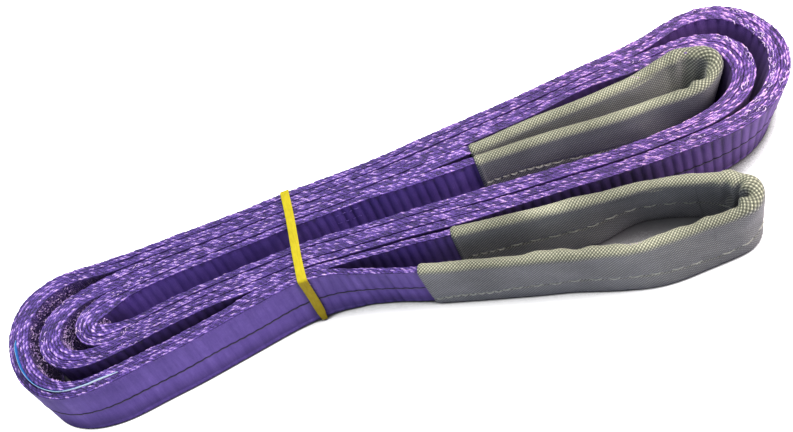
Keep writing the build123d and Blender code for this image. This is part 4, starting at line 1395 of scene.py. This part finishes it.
sleeve("free_eye_sleeve_front", sleeve_front, tip_front, "free_eye_front",
       "free_eye_front_sleeve", mouths=(True, False), seed=41,
       slack=slack_front, crumple=crumple_leg)
sleeve("free_eye_sleeve_tip", tip_front, tip_rear, TIP, "free_eye_tip_sleeve",
       mouths=(False, False), seed=41, crumple=crumple_tip)
sleeve("free_eye_sleeve_rear", tip_rear, sleeve_rear, "free_eye_rear",
       "free_eye_rear_sleeve", mouths=(False, True), seed=41, slack=slack_rear)
sleeve("buried_eye_sleeve_loop", buried_near, buried_far, "coil", "buried_eye_sleeve",
       mouths=(True, True), seed=61, slack=slack_buried, crumple=crumple_buried)


# ----------------------------------------------------- threads and stripes
def beside_web(i, off, z):
    """Point beside the web at a fractional sample: off to the left, at height z."""
    a = int(math.floor(i)) % COUNT
    b = (a + 1) % COUNT
    f = i - math.floor(i)
    point, left, lean, out = (v[a] * (1 - f) + v[b] * f for v in (POS, LEFT, LEAN, OUT))
    off = off - lean * (z - MID_Z) / HALF_WIDTH - out
    return np.array([point[0] + left[0] * off, point[1] + left[1] * off, z + Z_OFFSET])


def seam_stitches(start, end, dense, seed, heights, heavy=0.32):
    """Running stitches on both faces of a sleeve.

    dense is how far from each end they are short and close, with radius heavy;
    heights are evenly spaced along the way.
    """
    random = np.random.RandomState(seed)
    parts = []
    length = (end - start) % COUNT * STEP
    for side in (-1, 1):
        d = 1.2
        while d < length - STITCH_LENGTH - 0.6:
            close = d < dense[0] or (length - d) < dense[1]
            stitch, pitch = (3.4, 3.7) if close else (STITCH_LENGTH, STITCH_PITCH)
            stitch *= 0.94 + 0.12 * random.rand()
            middle = (np.interp(d / length, np.linspace(0, 1, len(heights)), heights)
                      + 0.2 * math.sin(d * 0.21) + 0.07 * random.randn())
            points = []
            for q in np.linspace(0, 1, 9):
                arch = math.sin(math.pi * q)
                i = start + (d + stitch * q) / 0.499       # mm between loop samples
                z = middle - 0.9 * arch + 0.45
                reach = sleeve_reach(DIST[int(i) % COUNT], side, z)
                points.append(beside_web(i, side * (reach - 0.34 + 0.48 * arch ** 0.6), z))
            parts.append(thread(points, heavy if close else 0.31))
            d += pitch
    return parts


def seam(name, parts, joint, replaced):
    place(bundle(name, parts, PALE), joint, replaced)


seam("free_eye_seam_front",
     seam_stitches(sleeve_front, tip_front, dense=(32.0, 0.0), seed=5, heavy=0.40,
                   heights=(5.8, 8.4, 10.6, 12.2, 12.7, 10.6, 8.0)),
     "free_eye_front", "free_eye_front_seam")
seam("free_eye_seam_tip",
     seam_stitches(tip_front, tip_rear, dense=(0.0, 0.0), seed=6,
                   heights=(8.0, 9.0, 12.0, 15.0)),
     TIP, "free_eye_tip_seam")
seam("free_eye_seam_rear",
     seam_stitches(tip_rear, sleeve_rear, dense=(0.0, 24.0), seed=7,
                   heights=(15.0, 16.0, 15.5, 14.5, 13.0)),
     "free_eye_rear", "free_eye_rear_seam")
seam("buried_eye_seam_threads",
     seam_stitches(buried_near, buried_eye_at(115.2, -3.9), dense=(30.0, 0.0), seed=8,
                   heights=(16.8, 16.6, 14.0, 12.0, 12.0), heavy=0.46)
     + seam_stitches(buried_eye_at(115.2, 8.4), buried_far, dense=(0.0, 24.0), seed=9,
                     heights=(13.0, 14.0, 16.0), heavy=0.40),
     "coil", "buried_eye_seam")


def stripe(name, start, end, joint, replaced):
    """Black yarn floating over the ribs of the right-hand face at mid height."""
    ids = samples(start, end)
    dist, phase = DIST[ids], RIB_PHASE[ids]
    rib = rib_height(phase)
    middle = MID_Z - 0.6 + 0.28 * wobble(71, dist / 9.0) + 0.16 * np.sin(2 * math.pi * phase)
    half = 0.42 + 0.10 * rib
    face = HALF_PLY - 0.05 - RIB_RIGHT[ids] * (1 - rib) * 0.8
    # it sinks where the face is covered, deeper beside the divide's rear ply
    rear_ply = POS[samples(rear_end, inner(divide))][::4]
    reach = np.hypot(POS[ids, 0][:, None] - rear_ply[None, :, 0],
                     POS[ids, 1][:, None] - rear_ply[None, :, 1]).min(1)
    covered = 1 - FREE_RIGHT[ids]
    sink = 0.20 * covered + 0.28 * np.clip((8.0 - reach) / 3.0, 0, 1) * covered
    angle = np.linspace(0, 2 * math.pi, 8, endpoint=False)
    z = middle[:, None] + half[:, None] * np.sin(angle)[None, :]
    off = (-((face + 0.02 - sink)[:, None] + 0.17 * np.cos(angle)[None, :])
           - LEAN[ids][:, None] * (z - MID_Z) / HALF_WIDTH - OUT[ids][:, None])
    rings = rings_beside(POS[ids], LEFT[ids], off, z - DROOP[ids][:, None])
    place(tube(name, rings, BLACK, dist), joint, replaced)


stripe("load_stripe_yarn_coil", 0, bend_0, "coil", "load_stripe_coil")
stripe("load_stripe_yarn_fold_1", bend_0, bend_1, BEND_1, "load_stripe_fold_a")
stripe("load_stripe_yarn_fold_2", bend_1, bend_2, BEND_2, "load_stripe_fold_a")
stripe("load_stripe_yarn_fold_3", bend_2, bend_3, BEND_3, "load_stripe_fold_b")
stripe("load_stripe_yarn_tail", bend_3, divide, "tail", "load_stripe_tail")
stripe("load_stripe_yarn_divide_1", divide, swing_end, SWING, "load_stripe_divide")
stripe("load_stripe_yarn_divide_2", swing_end, open_end, OPENING, "load_stripe_divide")
stripe("load_stripe_yarn_front_leg", open_end, sleeve_front - 2, "free_eye_front",
       "load_stripe_front_leg")


def tacks(start, end, seed):
    """Short stitches in four rows on the right-hand face, where an eye begins."""
    random = np.random.RandomState(seed)
    parts = []
    for height in (4.5, 10.0, 21.6, 27.1):
        i = start
        while i + 4.4 < end:
            z = height + 0.3 * random.randn() * 0.4 - DROOP[int(i) % COUNT]
            parts.append(thread([
                beside_web(i + 4.2 * q,
                           -(HALF_PLY - 0.13 + 0.20 * math.sin(math.pi * q) ** 0.7), z)
                for q in np.linspace(0, 1, 6)], 0.16))
            i += 6.0
    return parts


place(bundle("free_eye_stitching", tacks(LAST - 26, divide - 1, seed=3),
             VIOLET), "tail", "free_eye_base_stitching")
place(bundle("buried_eye_stitching",
             tacks(2, 28, seed=4) + tacks(inner(28), inner(2), seed=5),
             VIOLET), "coil", "buried_eye_base_stitching")


# -------------------------------------------------------------------- label
def label(name, start, end, joint):
    """Stretch of the label, which stands between the two plies of the outermost fold."""
    ids = np.arange(start, end + 1)
    t = (ids - label_start) / (label_end - label_start)
    top = (TOP_Z + LABEL_PROUD - 0.75 + 0.12 * np.sin(t * 31)
           + 0.3 * np.sin(t * 7.4 + 0.4) * np.clip(t * 6, 0, 1))
    # both ends dip
    top -= 1.6 * np.clip((t - 0.72) / 0.28, 0, 1) ** 1.5
    top -= 1.2 * np.clip((0.10 - t) / 0.10, 0, 1) ** 2
    bottom = BOTTOM_Z + LABEL_LOW + 0.3 * np.sin(t * 5)
    drift = 0.22 * np.sin(t * 9.0)
    profile = ([(1, q) for q in np.linspace(0, 1, 14)]
               + [(-1, q) for q in np.linspace(1, 0, 14)])
    off, height, tone = np.zeros((3, len(ids), len(profile)))
    for m, (side, q) in enumerate(profile):
        z = bottom + (top - bottom) * q
        half = 0.20 if 0 < q < 1 else 0.13
        flare = 0.30 * np.clip((q - 0.92) / 0.08, 0, 1) ** 2     # top edge curls outwards
        off[:, m] = (side * half + drift * q - flare
                     - lean_mid[ids] * (z - MID_Z) / HALF_WIDTH - out_mid[ids])
        height[:, m] = z - 0.3
        tone[:, m] = (0.12 if side > 0 else 0.86) + (0.16 if q == 1.0 else 0.0)
    rings = rings_beside(MID[ids], MID_LEFT[ids], off, height)
    ob = tube(name, rings, LABEL, ids * STEP, attrs={"tone": tone})
    place(ob, joint, "identification_label")


label("label_fold_2", label_start, bend_2, BEND_2)
label("label_fold_3", bend_2, bend_3, BEND_3)
if label_end > bend_3 + 2:
    label("label_tail", bend_3, label_end, "tail")


# ------------------------------------------------------------- elastic band
BAND_RADIUS = 1.4          # round the bundle's corners
BAND_HALF_THICKNESS = 0.27
BAND_HALF_WIDTH = 1.98


def band_path(y0, y1, z0, z1):
    """Rounded rectangle in (y, z), anticlockwise from the far side's top corner."""
    r = BAND_RADIUS
    # corner centre, its first angle, then the straight after it: from, to, points
    sides = (((y1 - r, z1 - r), 0, (y1 - r, z1), (y0 + r, z1), 90),
             ((y0 + r, z1 - r), 90, (y0, z1 - r), (y0, z0 + r), 44),
             ((y0 + r, z0 + r), 180, (y0 + r, z0), (y1 - r, z0), 90),
             ((y1 - r, z0 + r), 270, (y1, z0 + r), (y1, z1 - r), 44))
    points = []
    for (cy, cz), first, a, b, count in sides:
        for q in np.linspace(0, 1, 9, endpoint=False):
            t = math.radians(first + 90 * q)
            points.append((cy + r * math.cos(t), cz + r * math.sin(t)))
        for q in np.linspace(0, 1, count, endpoint=False):
            points.append((a[0] + (b[0] - a[0]) * q, a[1] + (b[1] - a[1]) * q))
    return np.array(points)


def elastic_band():
    lo, hi = (np.array(corner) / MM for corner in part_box("elastic_band"))
    y0, y1, z0, z1 = lo[1] + 0.3, hi[1] - 0.3, lo[2] + 0.3, hi[2] - 0.3
    path = band_path(y0, y1, z0, z1)
    along = np.roll(path, -1, 0) - np.roll(path, 1, 0)
    along /= np.linalg.norm(along, axis=1)[:, None]
    outward = np.stack([along[:, 1], -along[:, 0]], 1)
    dist = np.concatenate([[0], np.cumsum(np.hypot(*(path[1:] - path[:-1]).T))])
    z = path[:, 1]
    depth = (path[:, 0] - y0) / (y1 - y0)           # 0 near side, 1 far side
    # it runs askew, and is wider at the near top edge and narrower low on the near side
    centre = (lo[0] + hi[0]) / 2 + 1.05 * (depth - 0.5) * 2 + 0.25 * np.sin(dist * 0.11)
    half = (BAND_HALF_WIDTH
            + 0.16 * np.exp(-((z - z1) / 4.0) ** 2) * np.exp(-(depth / 0.12) ** 2)
            - 0.85 * np.exp(-((z - z0) / 5.0) ** 2) * (depth < 0.2))
    # section: a rounded oblong with slightly thicker rims
    angle = np.linspace(0, 2 * math.pi, 18, endpoint=False)
    wide = np.sign(np.cos(angle)) * np.abs(np.cos(angle)) ** 0.45
    thick = np.sign(np.sin(angle)) * np.abs(np.sin(angle)) ** 0.6
    section = BAND_HALF_THICKNESS * thick + 0.06 * wide ** 4 * np.sign(thick)
    ripple = 0.05 * np.sin(dist * 0.9) + 0.04 * np.sin(dist * 2.3 + 1)
    stand = section[None, :] + ripple[:, None] * 0.4
    rings = np.stack([
        centre[:, None] + half[:, None] * wide[None, :],
        path[:, 0][:, None] + outward[:, 0][:, None] * stand,
        np.maximum(path[:, 1][:, None] + outward[:, 1][:, None] * stand, 0.02)], -1)
    ob = tube("elastic_band_loop", rings, BAND, dist, closed=True)
    place(ob, "band", "elastic_band")


elastic_band()


# ------------------------------------------------- stray yarns on the folds
def fuzz(name, spans, count, seed, size=(0.8, 1.8), thick=0.13, reach=0.6):
    """Small stray loops on the top edge, scattered over the spans (first, last sample)."""
    random = np.random.RandomState(seed)
    parts = []
    for _ in range(count):
        a, b = spans[random.randint(len(spans))]
        i = a + random.rand() * ((b - a) % COUNT)
        across = (random.rand() - 0.5) * 2.8
        length = size[0] + (size[1] - size[0]) * random.rand()
        height = (0.4 + 0.6 * random.rand()) * reach
        slant = (random.rand() - 0.5) * 1.6
        curl = (random.rand() - 0.5) * length
        base = TOP_Z - 0.55 - DROOP[int(i) % COUNT]
        points = []
        for q in np.linspace(0, 1, 9):
            arch = math.sin(math.pi * q)
            points.append(beside_web(i + length * 2 * (q - 0.5),
                                     across + slant * (q - 0.5) + curl * arch,
                                     base + height * arch))
        parts.append(thread(points, thick * (0.8 + 0.5 * random.rand()), sides=5))
    place(bundle(name, parts, LILAC), "coil")


def bulge_at(i, z):
    """How far the squashed face stands out at this sample and height."""
    f = min(1.0, max(0.0, (z - 14.0) / 14.0))
    return BULGE[int(i) % COUNT] * f * f * (3 - 2 * f)


def beads(name, spans, seed):
    """Rows of short threads on right-hand faces: first sample, last sample, heights."""
    random = np.random.RandomState(seed)
    parts = []
    for a, b, heights in spans:
        for z in heights:
            d = 0.0
            while d < (b - a) % COUNT - 2:
                i = a + d
                stand = bulge_at(i, z)
                parts.append(thread([
                    beside_web(i + 1.6 * q,
                               -(HALF_PLY + 0.02 + stand + 0.12 * math.sin(math.pi * q)),
                               z + 0.35 * (q - 0.5) - DROOP[int(i) % COUNT])
                    for q in np.linspace(0, 1, 4)], 0.17, sides=5))
                d += 3.1 + 0.3 * random.rand()
    place(bundle(name, parts, LILAC), "coil")


def nap(name, spans, count, joint, seed):
    """Yarn loops scattered over right-hand faces: first, last sample, low, high."""
    random = np.random.RandomState(seed)
    parts = []
    for _ in range(count):
        a, b, low, high = spans[random.randint(len(spans))]
        i = a + random.rand() * ((b - a) % COUNT)
        z = low + (high - low) * random.rand() ** 0.7
        length = 0.5 + 0.7 * random.rand()
        rise = 0.25 + 0.5 * random.rand()
        tilt = (random.rand() - 0.5) * 1.6
        stand = HALF_PLY - 0.12 + bulge_at(i, z)
        points = [beside_web(i + length * 2 * (q - 0.5),
                             -(stand + rise * math.sin(math.pi * q)),
                             z + tilt * (q - 0.5) - DROOP[int(i) % COUNT])
                  for q in np.linspace(0, 1, 6)]
        parts.append(thread(points, 0.15 * (0.8 + 0.6 * random.rand()), sides=5))
    place(bundle(name, parts, DUSKY), joint)


# right-hand folds: second turn on both plies, first turn on the outer ply
right_2 = body_at(120, -29, .5, .8), body_at(122, 27.6, .6, .9)
right_2_inner = inner(right_2[1]), inner(body_at(120, -29, .5, .8))
right_1 = body_at(117, -22, .1, .45), body_at(119, 18.8, .2, .5)
# left-hand folds of the outer ply
left_2 = body_at(-106, 13.1, .4, .7), body_at(-114, -20.8, .45, .7)
left_1 = body_at(-113, 4.7, 0, .1), body_at(-115, -13.5, 0, .2)

fuzz("fold_thread_flecks", [right_2, right_2_inner, right_1, left_2, left_1], 240, seed=21)
long_span = (right_2_inner[0] + 90, right_2_inner[1] - 60)
fuzz("fold_thread_loops",
     [(right_2[0] + 60, right_2[1] - 90), long_span, long_span,
      (right_1[0] + 40, right_1[0] + 130)],
     70, seed=22, size=(1.4, 2.6), thick=0.21, reach=1.1)

beads("fold_beaded_threads", [
    (FOLD_2[0] + 40, FOLD_2[1] - 60, (20.2, 22.4, 24.6, 26.8)),
    (inner(body_at(-126, -14.5, 0, .2)), inner(body_at(-136, -15, 0, .2)), (25.4, 27.2)),
], seed=2)
nap("fold_nap_inner", [
    (FOLD_2[0] + 10, FOLD_2[1] - 10, 12.0, 29.6),
    (FOLD_2[0] + 10, FOLD_2[1] - 10, 18.0, 29.6),
    (inner(body_at(-134.4, -14.4, 0, .2)), inner(body_at(-134.4, -0.1, 0, .1)), 20.0, 29.6),
], 560, "coil", seed=31)
for number, start, end, count, joint in ((1, bend_0, bend_1, 150, BEND_1),
                                         (2, bend_1, bend_2, 170, BEND_2),
                                         (3, bend_2, bend_3, 170, BEND_3)):
    nap(f"fold_nap_outer_{number}", [(inner(end) + 3, inner(start) - 3, 10.0, 29.6)],
        count, joint, seed=31 + number)


# --------------------------------------- floor, light and camera, in metres
def floor_material():
    """Plain white to the camera in the open; the hollows are darkened with painted shade from
    ambient occlusion.
    """
    sh = Shader("floor")
    paint = (0.62, 0.62, 0.62 * 1.02, 1.0)
    hollow_glow = 0.22
    sh.set(Base_Color=paint, Roughness=0.95, Specular_IOR_Level=0.05,
           Emission_Color=(1.0, 1.0, 1.0, 1.0))
    camera_ray = sh.node("LightPath").outputs["Is Camera Ray"]
    close = sh.occlusion(distance=0.022, samples=8)
    # painted shade: the paint goes dark where ambient occlusion is close
    pale = sh.mix(sh.math("POWER", close, 1.3), (0.05, 0.04, 0.08, 1.0), paint)
    spread_out = sh.node("MapRange")
    spread_out.clamp = True
    for key, value in (("From Min", 0.37), ("From Max", 0.49), ("To Min", 0.0),
                       ("To Max", 1.1)):
        spread_out.inputs[key].default_value = value
    sh.feed(spread_out.inputs["Value"], sh.occlusion(distance=0.05, samples=16))
    openness = spread_out.outputs["Result"]
    # glow to the camera: white in the open, and in the hollows a faint glow that fades with
    # ambient occlusion, part of the painted shade
    glow = sh.total(sh.times(sh.math("POWER", close, 2.6), hollow_glow), openness)
    shade = sh.times(camera_ray, sh.minus(1.0, openness, clamp=True))
    sh.set(Base_Color=sh.mix(sh.times(shade, 0.62), pale, (0.05, 0.05, 0.06, 1.0)),
           Emission_Strength=sh.times(camera_ray, glow))
    return sh.material


def floor():
    """Flat floor that curves up into a wall at the far side."""
    material = floor_material()
    half, curve_y, radius, wall_top = 3.0, 1.2, 0.6, 3.0
    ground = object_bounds()[0].z - 0.0002
    profile = [(-half, ground)]
    profile += [(curve_y + radius * math.sin(t), ground + radius * (1 - math.cos(t)))
                for t in np.linspace(0, math.pi / 2, 24)]
    profile.append((curve_y + radius, wall_top))
    verts = [(x, y, z) for y, z in profile for x in (-half, half)]
    faces = [(2 * k, 2 * k + 1, 2 * k + 3, 2 * k + 2) for k in range(len(profile) - 1)]
    mesh = bpy.data.meshes.new("floor")
    mesh.from_pydata(verts, [], faces)
    for polygon in mesh.polygons:
        polygon.use_smooth = True
    mesh.materials.append(material)
    link("floor", mesh)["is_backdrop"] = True


def sky():
    world = bpy.data.worlds.new("studio")
    bpy.context.scene.world = world
    world.use_nodes = True
    background = world.node_tree.nodes["Background"]
    background.inputs["Color"].default_value = (0.84, 0.90, 1.0, 1.0)
    background.inputs["Strength"].default_value = 0.34


def area_light(name, location, target, size, power, colour):
    light = bpy.data.lights.new(name, "AREA")
    light.shape = "RECTANGLE"
    light.size, light.size_y = size
    light.energy = power
    light.color = colour
    ob = link(name, light)
    ob.location = location
    ob.rotation_mode = "QUATERNION"
    ob.rotation_quaternion = (Vector(target) - Vector(location)).to_track_quat("-Z", "Y")


def camera():
    data = bpy.data.cameras.new("camera")
    data.sensor_width = 36.0
    data.lens = 72.50
    data.clip_start, data.clip_end = 0.01, 20.0
    ob = link("camera", data)
    right = Vector((0.93130788, -0.23527735, -0.27804713))
    up = Vector((0.35784047, 0.73341491, 0.57797298))
    forward = Vector((-0.06793996, 0.63776731, -0.76722684))
    matrix = Matrix((right, up, -forward)).transposed().to_4x4()
    matrix.translation = Vector((0.047479, -0.425254, 0.551292))
    ob.matrix_world = matrix
    bpy.context.scene.camera = ob


floor()
sky()
area_light("key", location=(0.20, 0.25, 1.20), target=(0, 0, 0), size=(0.9, 0.7),
           power=19.5, colour=(1.0, 0.965, 0.90))
area_light("side", location=(0.95, -0.35, 0.55), target=(0.1, 0, 0), size=(0.5, 0.5),
           power=3.0, colour=(1.0, 0.86, 0.84))
area_light("fill", location=(-0.6, -0.9, 0.6), target=(0, 0, 0), size=(0.9, 0.6),
           power=2.6, colour=(0.86, 0.9, 1.0))
area_light("near", location=(0.44, -0.10, 0.34), target=(0.15, 0.0, 0.01),
           size=(0.24, 0.24), power=2.0, colour=(1.0, 0.86, 0.80))
camera()
bpy.context.scene.view_settings.view_transform = "Standard"
bpy.context.scene.view_settings.look = "None"
